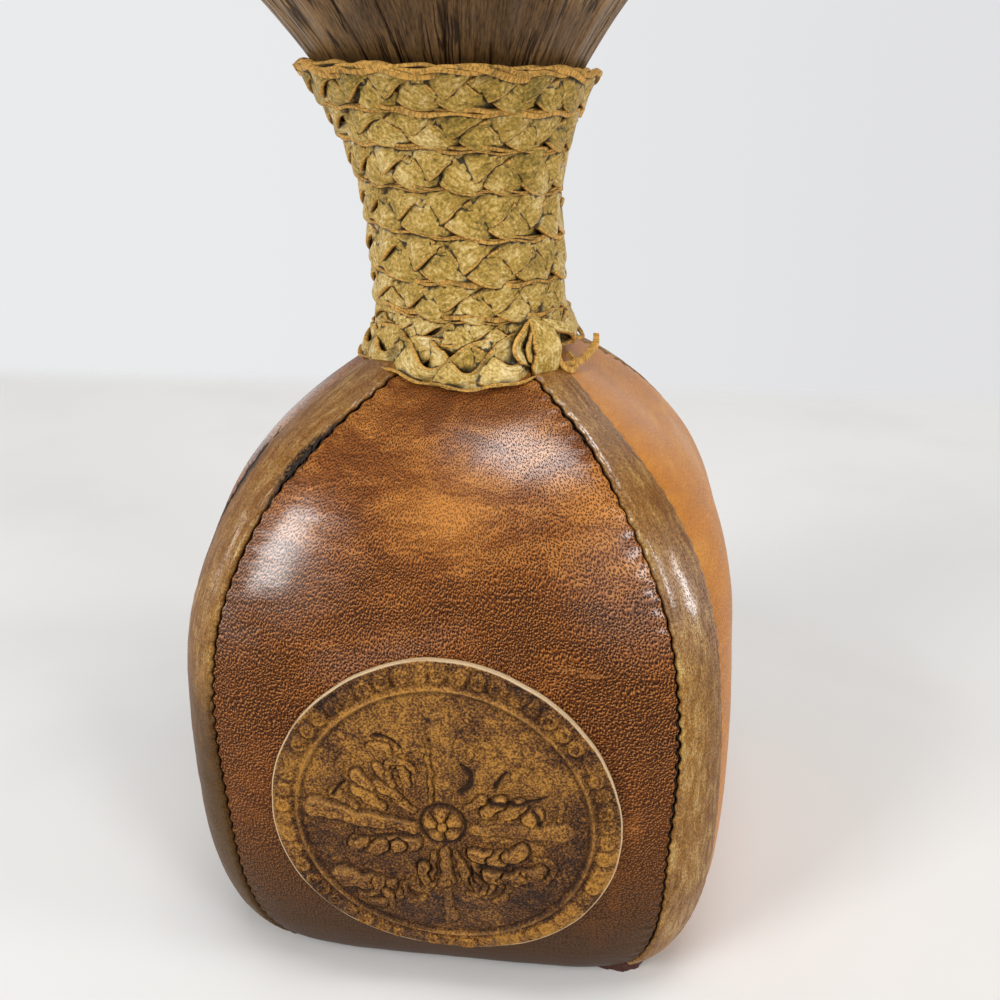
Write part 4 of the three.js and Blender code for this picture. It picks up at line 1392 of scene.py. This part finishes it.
def make_medallion(look):
    """The embossed disc: a raw cut edge, a border of rounds, a ring line and a leafy rosette."""
    disc = settings().medallion
    radius, boss_radius = disc.radius / MM, disc.boss / MM
    ring_share, round_share, round_count = 0.845, 0.922, 54
    face_rings, wall_rings, stretch = 165, 4, 1.018
    # Rings from the middle of the underside round the wall to the middle of the face
    rings = np.concatenate(([0.0, 0.5], np.full(wall_rings, 1.0), np.linspace(0.996, 0.0, face_rings)))
    wall = np.concatenate(([0.0, 0.0], np.linspace(0.0, 0.86, wall_rings), np.ones(face_rings)))[:, None]
    turn = np.linspace(0, TURN, DISC_COLUMNS)
    rho = (rings * radius)[:, None] * (1 + 0.004 * waver(turn * 7, 3))
    x, y = rho * np.cos(turn), rho * np.sin(turn)
    out = rho / radius
    # The rosette inside the ring line
    worn = 0.9 + 0.3 * waver(x / 6, 7) * waver(y / 7, 8)
    field = (1 - ease(ring_share - 0.07, ring_share - 0.03, out)) * ease(4.6, 6.2, rho)
    leaves, outline, lit = rosette(x, y)
    cuts = np.maximum.reduce([np.clip(1.3 - nearness(x, y, cut), 0, 1) for cut in CUTS])
    ring_line = 0.45 * bell(out - ring_share, 0.01)
    groove = bell(out - ring_share + 0.024, 0.012)
    # The border of rounds, each a ring with a dot
    round_turn = (turn * round_count / TURN + 0.15 * waver(turn * 9, 2)) % 1 - 0.5
    spacing = TURN * round_share * radius / round_count
    reach = np.hypot(round_turn * spacing, (out - round_share) * radius)
    rounds = 0.85 * bell(reach - 1.15, 0.42) + 0.7 * bell(reach, 0.5)
    rounds = rounds * (0.65 + 0.45 * waver(turn * 11, 6))
    # The boss with its petals and its moat
    lobes = np.abs(np.sin(2.5 * turn + 0.4)) ** 0.7
    petals = np.maximum(lobes * ease(0.9, 1.5, rho), 1 - ease(0.8, 1.2, rho))
    boss = 0.95 * np.sqrt(np.clip(1 - (rho / boss_radius) ** 4, 0, 1)) * (0.3 + 0.7 * petals)
    moat = bell(rho - boss_radius - 0.55, 0.5)
    moat = np.maximum(moat, 0.8 * (1 - petals) * (rho < boss_radius))
    # Recesses with their painted shade, lighter places and stains on the border, and painted highlights
    # along the outlines
    recess = np.maximum(outline * field * worn * 0.95, np.maximum(cuts * 1.2, moat))
    between = np.clip(reach / 1.9 - 0.75, 0, 1) * ease(0.86, 0.88, out) * (1 - ease(0.96, 0.98, out))
    recess = np.clip(np.maximum(recess, np.maximum(groove * 0.45, between * 0.9)), 0, 1)
    raised = np.maximum(np.maximum(leaves * field * worn, ring_line), np.maximum(rounds, boss))
    relief = raised - 0.45 * recess
    lighter_patch = 1.8 * hump(turn, TURN - 0.57, 0.8) + 0.9 * hump(turn, 3.14, 0.5)
    stain = ease(0.86, 0.9, out) * (np.cos(turn - 1.7) - lighter_patch) * (0.7 + 0.6 * waver(turn * 6, 4))
    lit = np.maximum(lit * field * worn, ring_line * (1.0 + 0.7 * waver(turn * 5, 9))) * (1 - recess)
    rim = ((rings[:, None] >= 0.996) & (wall > 0)).astype(float)
    # The disc bent round the front of the jacket
    top = (disc.thickness / MM - 0.3 + relief * disc.relief / MM) * wall
    top = top - 0.35 * np.clip(1 - (1 - out) * radius / 0.6, 0, 1) ** 2 * (wall == 1)
    px = disc.shift + x / stretch**0.6 * MM
    pz = disc.centre_height + y * stretch * MM
    n = body_squareness(pz)
    py = -((body_half_width(pz) ** n - np.abs(px) ** n) ** (1 / n))
    points = jacket_point(np.arctan2(py, px), pz, disc.seat + top * MM)
    marks = {"relief": np.clip(relief, 0, 1), "recess": recess, "rim": rim, "stain": stain, "lit": lit}
    marks = {name: np.broadcast_to(values, x.shape)[:, ::-1] for name, values in marks.items()}
    piece = laid_grid("medallion_disc", points[:, ::-1], marks=marks)
    edit(piece, merge_doubles, face_outwards)
    finish(piece, look, "medallion", angle=60)


# Neck leather


def crease_field(angle, z):
    """Depth of the sleeve's gathers, from 0 to 1, at angles and heights."""
    start = settings().neck.flare_start
    generator = np.random.default_rng(11)
    depth = np.zeros(np.broadcast_shapes(angle.shape, z.shape))
    for k in range(CREASES):
        middle = TURN * (k + generator.uniform(-0.4, 0.4)) / CREASES
        low = start + generator.uniform(14, 24) * MM
        high = start + generator.uniform(26, 47) * MM
        width = generator.uniform(0.18, 0.5) * MM
        strength = generator.uniform(0.1, 1.0) ** 1.5
        drift = generator.uniform(-1.2, 1.2)
        bend = middle + drift * (z - low) + 0.012 * np.sin((z - low) * 260 + k)
        across = bell(turned_from(angle, bend) * sleeve_radius(z), width)
        along = ease(low - 12 * MM, low, z) * (1 - ease(high - 8 * MM, high, z))
        depth = np.maximum(depth, strength * across * along)
    return depth


def make_sleeve(look):
    """The sleeve gathered over the mouth, folded over the lip and hemmed inside."""
    neck = settings().neck
    rim = neck.flare_start + neck.flare_length
    outside = np.linspace(neck.foot, rim, 56)
    roll = np.linspace(0, math.pi, 12)[1:]
    inside = np.linspace(rim, rim - neck.hem, 6)[1:]
    half_lip = neck.lip_depth / 2
    fold = float(sleeve_radius(np.array(rim))) - half_lip + half_lip * np.cos(roll)
    z = np.concatenate((outside, rim + neck.lip_rise * np.sin(roll), inside))[:, None]
    r = np.concatenate((sleeve_radius(outside), fold, sleeve_radius(inside) - neck.lip_depth))[:, None]
    angle = np.linspace(0, TURN, SLEEVE_COLUMNS)
    crease = crease_field(angle, z)
    crease[len(outside) + 4 :] *= 0.35
    gather = 0.35 * MM * np.sin(angle * 23 + 2 * np.sin(angle * 5)) * ease(174 * MM, 196 * MM, z)
    inward = np.where(np.arange(len(z)) < len(outside) + 6, 1.0, -0.6)[:, None]
    points = neck_point(angle, r + gather - inward * crease * 0.75 * MM, z)
    way = summed(np.hypot(np.diff(r[:, 0]), np.diff(z[:, 0])))
    uv = chart(angle * 30 * MM, way[:, None], crease.shape)
    piece = laid_grid("gathered_sleeve", points, uv, {"crease": crease})
    edit(piece, merge_doubles)
    give_thickness(piece, neck.sleeve_thickness)
    finish(piece, look, "neck_sleeve", angle=70)


def lay_strap(name, line, outs, widths, thickness, crown=0.0, rolls=0.0, raw=1.0, under=0.0):
    """A leather strap along a line, with its width, its roll, its rawness and its shade at each point."""
    columns = (np.broadcast_to(values, len(line))[:, None] for values in (widths, rolls, raw, under))
    widths, rolls, raw, under = columns
    along = unit(np.gradient(line, axis=0))
    out = unit(outs - along * np.sum(outs * along, axis=-1, keepdims=True))
    across = np.cross(out, along)
    turned_out = out * np.cos(rolls) + across * np.sin(rolls)
    turned_across = across * np.cos(rolls) - out * np.sin(rolls)
    beside = (widths * STRAP_ACROSS)[..., None] * turned_across[:, None]
    above = (thickness * STRAP_OUT + crown * STRAP_CROWN)[:, None] * turned_out[:, None]
    points = line[:, None] + beside + above
    points = np.concatenate((points, points[:, :1]), axis=1)
    edges = np.append(STRAP_RAW, STRAP_RAW[0]) if crown > 0 else np.ones(points.shape[1])
    way = summed(np.linalg.norm(np.diff(line, axis=0), axis=1))[:, None]
    uv = chart(way, np.linspace(0, CHART, points.shape[1]), points.shape[:2])
    piece = laid_grid(name, points, uv, {"raw": raw * edges, "under": under})
    edit(piece, merge_doubles, close_ends, face_outwards)
    return piece


def finish_strap(piece, look, node, depth):
    dent(piece, STRAP_DENT, depth * MM)
    return finish(piece, look, node, angle=60)


class BraidCourse:
    """The middle line of the wound braid at close steps."""

    def __init__(self):
        turns = np.linspace(0, BRAID_TURNS, COURSE_STEPS)
        levels, widths, cords = np.array(BRAID_ROWS).T * MM
        front = np.arange(len(BRAID_ROWS)) + (BRAID_START + QUARTER) / TURN
        past_top = (turns - front[-1]) * 3.0 * MM
        z = np.where(turns > front[-1], levels[-1] + past_top, np.interp(turns, front, levels))
        angle = BRAID_START - TURN * turns
        radius = sleeve_radius(z[1:]) + settings().neck.bed
        run = summed(np.hypot(np.diff(angle) * radius, np.diff(z)))
        self.run = np.arange(0, run[-1], BRAID_STEP)
        self.turns = np.interp(self.run, run, turns)
        self.angle = np.interp(self.run, run, angle)
        self.row = np.interp(self.turns, front, widths)
        self.cord = np.interp(self.turns, front, cords)
        self.lowest = 1 - ease(0.8, 1.1, self.turns)
        self.meridian = Meridian()
        at_corner = (1 + np.cos(4 * (self.angle - QUARTER / 2))) / 2
        raised = 1.4 * MM * at_corner * (1 - ease(0.5, 1.2, self.turns))
        self.way = self.meridian.at_height(np.interp(self.run, run, z)) + raised

    def line(self, across, lift):
        """Points and outward directions at a distance across the row and a lift from its bed."""
        skirt = self.lowest * (1.1 * MM - 0.28 * across)
        return self.meridian.point(self.angle, self.way + across, settings().neck.bed + skirt + lift)


def make_braid(look):
    """Three straps plaited flat and wound up the neck, with the cut edges along each row."""
    neck = settings().neck
    course = BraidCourse()
    run, row = course.run, course.row
    pieces = []

    def keep(name, depth, *shape):
        pieces.append(finish_strap(lay_strap(name, *shape), look, "neck_braid", depth))

    for k in range(3):
        phase = TURN * (run / neck.plait + k / 3) + 0.5 * waver(run / (34 * MM), k)
        edge = np.abs(np.sin(phase))
        swing = (0.345 + 0.02 * waver(run / (19 * MM), k + 4)) * row
        rise = -np.sin(2 * phase)
        wide = row * (0.77 - 0.36 * edge**3) * (1 + 0.09 * waver(run / (11 * MM), k + 7))
        lift = 0.66 * MM * rise + 0.12 * MM * waver(run / (7 * MM), k + 2)
        line, outs = course.line(swing * np.sin(phase), lift)
        rolls = 0.22 * np.cos(phase) * np.sign(np.sin(phase)) + 0.12 * waver(run / (9 * MM), k + 11)
        raw = 0.62 + 0.38 * ease(0.6, 0.85, edge)
        # Painted shade where the strap dives under the next
        under = 0.55 * ease(0.3, 1.0, -rise)
        shape = (line, outs, wide, neck.strap_thickness, 0.14 * MM, rolls, raw, under)
        keep(f"braid_strap_{k + 1}", 0.35, *shape)
    leaf = 3 * TURN * run / neck.plait + 1.5 * waver(run / (34 * MM), 1)
    for side, name, strength in ((1, "upper", 1.0), (-1, "lower", 0.6)):
        across = side * (row * 0.47 + 0.32 * MM * np.sin(leaf)) + 0.3 * MM * waver(run / (13 * MM), 3 + side)
        swell = 0.85 + 0.25 * np.sin(leaf / 2 + side) + 0.3 * waver(run / (16 * MM), side)
        thick = np.clip(course.cord * strength * swell, 0.25 * MM, None)
        lift = 0.6 * MM + 0.3 * MM * np.cos(leaf / 2 + 2 * side) + thick * 0.25
        keep(f"braid_edge_{name}", 0.3, *course.line(across, lift), thick, 0.8 * MM)
    top = course.turns > TOP_CORD_START
    twist = TURN * run / (17 * MM)
    across = row * 0.47 + 1.0 * MM * np.sin(twist) - 0.3 * MM
    line, outs = course.line(across, 0.75 * MM + 0.6 * MM * np.cos(twist))
    thick = (1.1 + 0.3 * waver(run / (5 * MM), 4)) * MM
    keep("braid_edge_twist", 0.3, line[top], outs[top], thick[top], 0.9 * MM)
    return pieces


def through(knots, count):
    """A smooth line through a few points."""
    knots = np.array(knots, dtype=float)
    padded = np.concatenate((2 * knots[:1] - knots[1:2], knots, 2 * knots[-1:] - knots[-2:-1]))
    at = np.linspace(0, len(knots) - 1, count)
    k = np.minimum(at.astype(int), len(knots) - 2)
    t = (at - k)[:, None]
    a, b, c, d = (padded[k + i] for i in range(4))
    return b + 0.5 * t * (c - a + t * (2 * a - 5 * b + 4 * c - d + t * (3 * (b - c) + d - a)))


def make_tail(look):
    """The braid's lower end: a strap folded over itself, its neighbours on edge and a loose strand."""
    meridian = Meridian()
    pieces = []
    t = np.linspace(0, 1, BRAID_END_STEPS)
    for name, ((wide, thick, crown, roll), knots) in BRAID_ENDS.items():
        angle, z, lift = through(knots, BRAID_END_STEPS).T
        line, outs = meridian.point(np.radians(angle), meridian.at_height(z * MM), lift * MM)
        shape = 0.6 + 0.4 * np.sin(math.pi * t) if name == "fold" else 1 - 0.35 * ease(0.7, 1.0, t)
        widths = wide * MM * shape * (1 + 0.08 * waver(t * 20, 1))
        raw = 1.0 if crown == 0 else 0.75
        piece = lay_strap(f"braid_end_{name}", line, outs, widths, thick * MM, crown * MM, roll, raw)
        pieces.append(finish_strap(piece, look, "braid_tail", 0.45))
    return pieces


# Stopper


def turned_piece(name, profile):
    """A piece spun about the neck's leaning axis from pairs of radius and height in millimetres."""
    piece = added(name, bpy.ops.mesh.primitive_circle_add, vertices=len(profile), radius=1)
    start = coordinates(piece.data)
    order = np.argsort(np.arctan2(start[:, 1], start[:, 0]))
    points = np.zeros_like(start)
    points[order] = [(r * MM, 0.0, z * MM) for r, z in profile]
    set_coordinates(piece.data, points)
    edit(
        piece,
        lambda: bpy.ops.mesh.spin(steps=SPIN_STEPS, angle=TURN, center=(0, 0, 0), axis=(0, 0, 1)),
        select_all,
        merge_doubles,
        lambda: bpy.ops.mesh.dissolve_degenerate(threshold=0.001 * MM),
        select_all,
        face_outwards,
    )
    lean = Matrix.Identity(4)
    lean[0][2] = settings().neck.lean
    lean[0][3] = -settings().neck.lean * settings().body.height
    piece.data.transform(lean)
    return piece


def arc(centre, radius, start, end, steps):
    """Pairs of radius and height along an arc, in degrees from the axis upwards."""
    turns = np.radians(np.linspace(start, end, steps))
    return [(centre[0] + radius * math.sin(t), centre[1] + radius * math.cos(t)) for t in turns]


def heights(node):
    """Lower and upper height of a node in millimetres."""
    return (corner.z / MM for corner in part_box(node))


def make_knob(look):
    low, high = heights("stopper_knob")
    pin_top = max(heights("stopper_pin")) + PIN_ROOM
    ball = 15.0
    profile = [(0, pin_top), (PIN_HOLE, pin_top), (PIN_HOLE, low), (9.2, low)]
    profile += arc((9.2, low + 2), 2, 180, 0, 9)
    stem = ((8.4, 4.2), (7.4, 5.2), (6.5, 7.2), (6.0, 10), (5.8, 15), (6.0, 18.2))
    profile += [(r, low + z) for r, z in stem]
    profile += arc((6.2, low + 19.7), 1.4, 180, 0, 7)
    profile += [(6.0, low + 21.6), (5.9, low + 23.5)]
    profile += arc((0, high - ball), ball, 156, 0, 30)
    piece = turned_piece("turned_knob", profile)
    finish(piece, look, "stopper_knob", body="stopper", angle=40)


def make_cork(look):
    low, high = heights("stopper_cork")
    pin_low = min(heights("stopper_pin")) - PIN_ROOM
    left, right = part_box("stopper_cork")
    top = (right.x - left.x) / MM / 2
    bottom = 10.7
    profile = [(0, low), (bottom - 1.2, low), (bottom - 0.3, low + 0.4), (bottom + 0.1, low + 1.2)]
    profile += [(bottom + (top - bottom) * t, low + (high - low) * t) for t in (0.25, 0.5, 0.75, 0.92)]
    profile += [(top - 0.5, high - 0.5), (top - 1.4, high)]
    profile += [(PIN_HOLE, high), (PIN_HOLE, pin_low), (0, pin_low)]
    piece = turned_piece("cut_cork", profile)
    finish(piece, look, "stopper_cork", body="stopper", angle=40)


def paint_node(node, look):
    """Gives its finish to a piece of the frame that shows as it is."""
    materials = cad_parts[node].data.materials
    materials.clear()
    materials.append(look.material)


# Stage


def add_lamp(name, direction, width, height, power):
    """A soft lamp that looks at the middle of the body."""
    towards = Vector(direction).normalized()
    location = LAMP_TARGET + towards * LAMP_DISTANCE
    lamp = added(name, bpy.ops.object.light_add, type="AREA", location=location)
    lamp.rotation_mode = "QUATERNION"
    lamp.rotation_quaternion = towards.to_track_quat("Z", "Y")
    lamp.data.shape = "RECTANGLE"
    lamp.data.size = width
    lamp.data.size_y = height
    lamp.data.energy = power


def shown_rays(wire):
    """1 for rays that show the background to the eye, directly or by way of glass and gloss."""
    rays = ("Is Camera Ray", "Is Transmission Ray", "Is Glossy Ray")
    seen, *others = (wire.node("LightPath", output=ray) for ray in rays)
    return seen.most(*others)


def add_floor():
    """A pale floor that fades into the background all round, soonest behind the decanter."""
    stage = settings().stage
    floor = added("floor", bpy.ops.mesh.primitive_plane_add, size=2)
    corners = coordinates(floor.data) * stage.floor_reach
    corners[:, 1] = np.minimum(corners[:, 1], stage.floor_back)
    set_coordinates(floor.data, corners)
    look = Finish("pale_floor")
    grain = look.noise(look.place, 9.0, 3.0)
    base = (grain.rise(0.45, 0.75) * 0.05).darken("floor")
    far = look.vector("LENGTH", look.place, output="Value").rise(0.6, 1.1)
    look.surface(
        Base_Color=far.darken(base),
        Roughness=0.7,
        Specular_IOR_Level=0.0,
        Alpha=look.axis("Y").rise(stage.floor_back, stage.floor_back - 0.05),
        Emission_Color=(far * shown_rays(look.wire)).blend(BLACK, "wall_left"),
        Emission_Strength=1.0,
    )
    floor.data.materials.append(look.material)


def set_world():
    """A pale wall for the eye, the glass and the gloss, and a plain light for the surfaces."""
    sky = settings().stage.sky
    world = bpy.data.worlds.new("pale_room")
    world.use_nodes = True
    bpy.context.scene.world = world
    wire = Wire(world.node_tree)
    way = wire.node("TexCoord", output="Generated")
    aside = wire.node("SeparateXYZ", sockets={0: way}, output="X")
    wall = aside.rise(-0.5, 0.5).blend("wall_left", "wall_right")
    tone = shown_rays(wire).blend((sky, sky, sky, 1.0), wall)
    wire.plug(world.node_tree.nodes["Background"].inputs["Color"], tone)


def add_camera():
    """The photograph's view: a lens a little longer than normal, above the shoulder and to the right."""
    position = Vector((33.812, -217.243, 188.93)) * MM
    forward = Vector((-0.12000862, 0.90910365, -0.39890912))
    up_hint = Vector((-0.04164844, 0.39684909, 0.9169385))
    right = forward.cross(up_hint).normalized()
    up = right.cross(forward).normalized()
    camera = added("photo_camera", bpy.ops.object.camera_add)
    turn = Matrix((right, up, -forward.normalized())).transposed()
    camera.matrix_world = Matrix.Translation(position) @ turn.to_4x4()
    camera.data.lens = 36.93
    camera.data.sensor_width = 36
    camera.data.clip_start = 0.01
    bpy.context.scene.camera = camera


# Operators


class PieceOperator:
    """What the operators share."""

    bl_options = {"REGISTER", "UNDO"}


class DECANTER_OT_stage(PieceOperator, bpy.types.Operator):
    """Add the floor, the lamps, the background and the camera."""

    bl_idname = "decanter.stage"
    bl_label = "Stage"

    def execute(self, context):
        add_floor()
        set_world()
        for name, lamp in LAMPS.items():
            add_lamp(name, *lamp)
        add_camera()
        context.scene.view_settings.view_transform = "Standard"
        return {"FINISHED"}


class DECANTER_OT_panels(PieceOperator, bpy.types.Operator):
    """Add the four leather panels on the flat sides."""

    bl_idname = "decanter.panels"
    bl_label = "Panels"

    def execute(self, context):
        shades = ("chestnut_dark", "chestnut", "chestnut_light", "chestnut_rim")
        chestnut = pebbled_leather("chestnut_leather", shades, 0.1 * MM, 0.95, 1.0, 1.0, 0.07)
        shades = ("tan_dark", "tan", "tan_light", "tan_light")
        tan = pebbled_leather("tan_leather", shades, 0.04 * MM, 0.22, 0.45, 0.2, 0.3)
        for corner, name in enumerate(PANELS):
            make_panel(name, corner, tan if name in TAN_PANELS else chestnut)
        return {"FINISHED"}


class DECANTER_OT_strips(PieceOperator, bpy.types.Operator):
    """Add the four corner strips."""

    bl_idname = "decanter.strips"
    bl_label = "Corner Strips"

    def execute(self, context):
        look = strip_leather()
        for corner, name in enumerate(STRIPS):
            make_strip(name, corner, look)
        return {"FINISHED"}


class DECANTER_OT_seams(PieceOperator, bpy.types.Operator):
    """Add the stitches of the eight seams and the fibres of the frayed edges."""

    bl_idname = "decanter.seams"
    bl_label = "Seams"

    def execute(self, context):
        look = waxed_thread()
        for corner, side in itertools.product(range(4), (-1, 1)):
            make_seam(corner, side, look)
        make_fibres(look)
        return {"FINISHED"}


class DECANTER_OT_base(PieceOperator, bpy.types.Operator):
    """Add the leather under the bottle."""

    bl_idname = "decanter.base"
    bl_label = "Base Leather"

    def execute(self, context):
        make_base(base_leather())
        return {"FINISHED"}


class DECANTER_OT_medallion(PieceOperator, bpy.types.Operator):
    """Add the embossed disc on the front."""

    bl_idname = "decanter.medallion"
    bl_label = "Medallion"

    def execute(self, context):
        make_medallion(medallion_leather())
        return {"FINISHED"}


class DECANTER_OT_sleeve(PieceOperator, bpy.types.Operator):
    """Add the sleeve gathered over the mouth."""

    bl_idname = "decanter.sleeve"
    bl_label = "Gathered Sleeve"

    def execute(self, context):
        make_sleeve(sleeve_leather())
        return {"FINISHED"}


class DECANTER_OT_braid(PieceOperator, bpy.types.Operator):
    """Add the wound braid and its tucked end."""

    bl_idname = "decanter.braid"
    bl_label = "Braid"

    def execute(self, context):
        look = braid_leather()
        mark_shelter(make_braid(look) + make_tail(look))
        return {"FINISHED"}


class DECANTER_OT_bottle(PieceOperator, bpy.types.Operator):
    """Give the bottle its glass."""

    bl_idname = "decanter.bottle"
    bl_label = "Glass"

    def execute(self, context):
        paint_node("glass_bottle", bottle_glass())
        return {"FINISHED"}


class DECANTER_OT_stopper(PieceOperator, bpy.types.Operator):
    """Add the turned knob and the cork, and give the dowel its wood."""

    bl_idname = "decanter.stopper"
    bl_label = "Stopper"

    def execute(self, context):
        make_knob(wood_grain("turned_wood", "wood", "wood_dark", 0.35))
        make_cork(cork_grain())
        paint_node("stopper_pin", wood_grain("dowel_wood", "cork", "wood", 0.0))
        return {"FINISHED"}


OPERATORS = (
    DECANTER_OT_stage,
    DECANTER_OT_panels,
    DECANTER_OT_strips,
    DECANTER_OT_seams,
    DECANTER_OT_base,
    DECANTER_OT_medallion,
    DECANTER_OT_sleeve,
    DECANTER_OT_braid,
    DECANTER_OT_bottle,
    DECANTER_OT_stopper,
)


class DECANTER_PT_pieces(bpy.types.Panel):
    """Lists the decanter's pieces in the sidebar."""

    bl_idname = "DECANTER_PT_pieces"
    bl_label = "Decanter"
    bl_space_type = "VIEW_3D"
    bl_region_type = "UI"
    bl_category = "Decanter"

    def draw(self, context):
        for operator in OPERATORS:
            self.layout.operator(operator.bl_idname)


GROUPS = (DecanterBody, DecanterNeck, DecanterMedallion, DecanterColours, DecanterStage, DecanterSettings)
CLASSES = (*GROUPS, *OPERATORS, DECANTER_PT_pieces)


def register():
    for made in CLASSES:
        bpy.utils.register_class(made)
    bpy.types.Scene.decanter = group(DecanterSettings, "Decanter", "Sizes and finishes of the decanter")


def unregister():
    del bpy.types.Scene.decanter
    for made in reversed(CLASSES):
        bpy.utils.unregister_class(made)


def main():
    register()
    bpy.ops.decanter.stage()
    bpy.ops.decanter.panels()
    bpy.ops.decanter.strips()
    bpy.ops.decanter.seams()
    bpy.ops.decanter.base()
    bpy.ops.decanter.medallion()
    bpy.ops.decanter.sleeve()
    bpy.ops.decanter.braid()
    bpy.ops.decanter.bottle()
    bpy.ops.decanter.stopper()


if __name__ == "__main__":
    main()
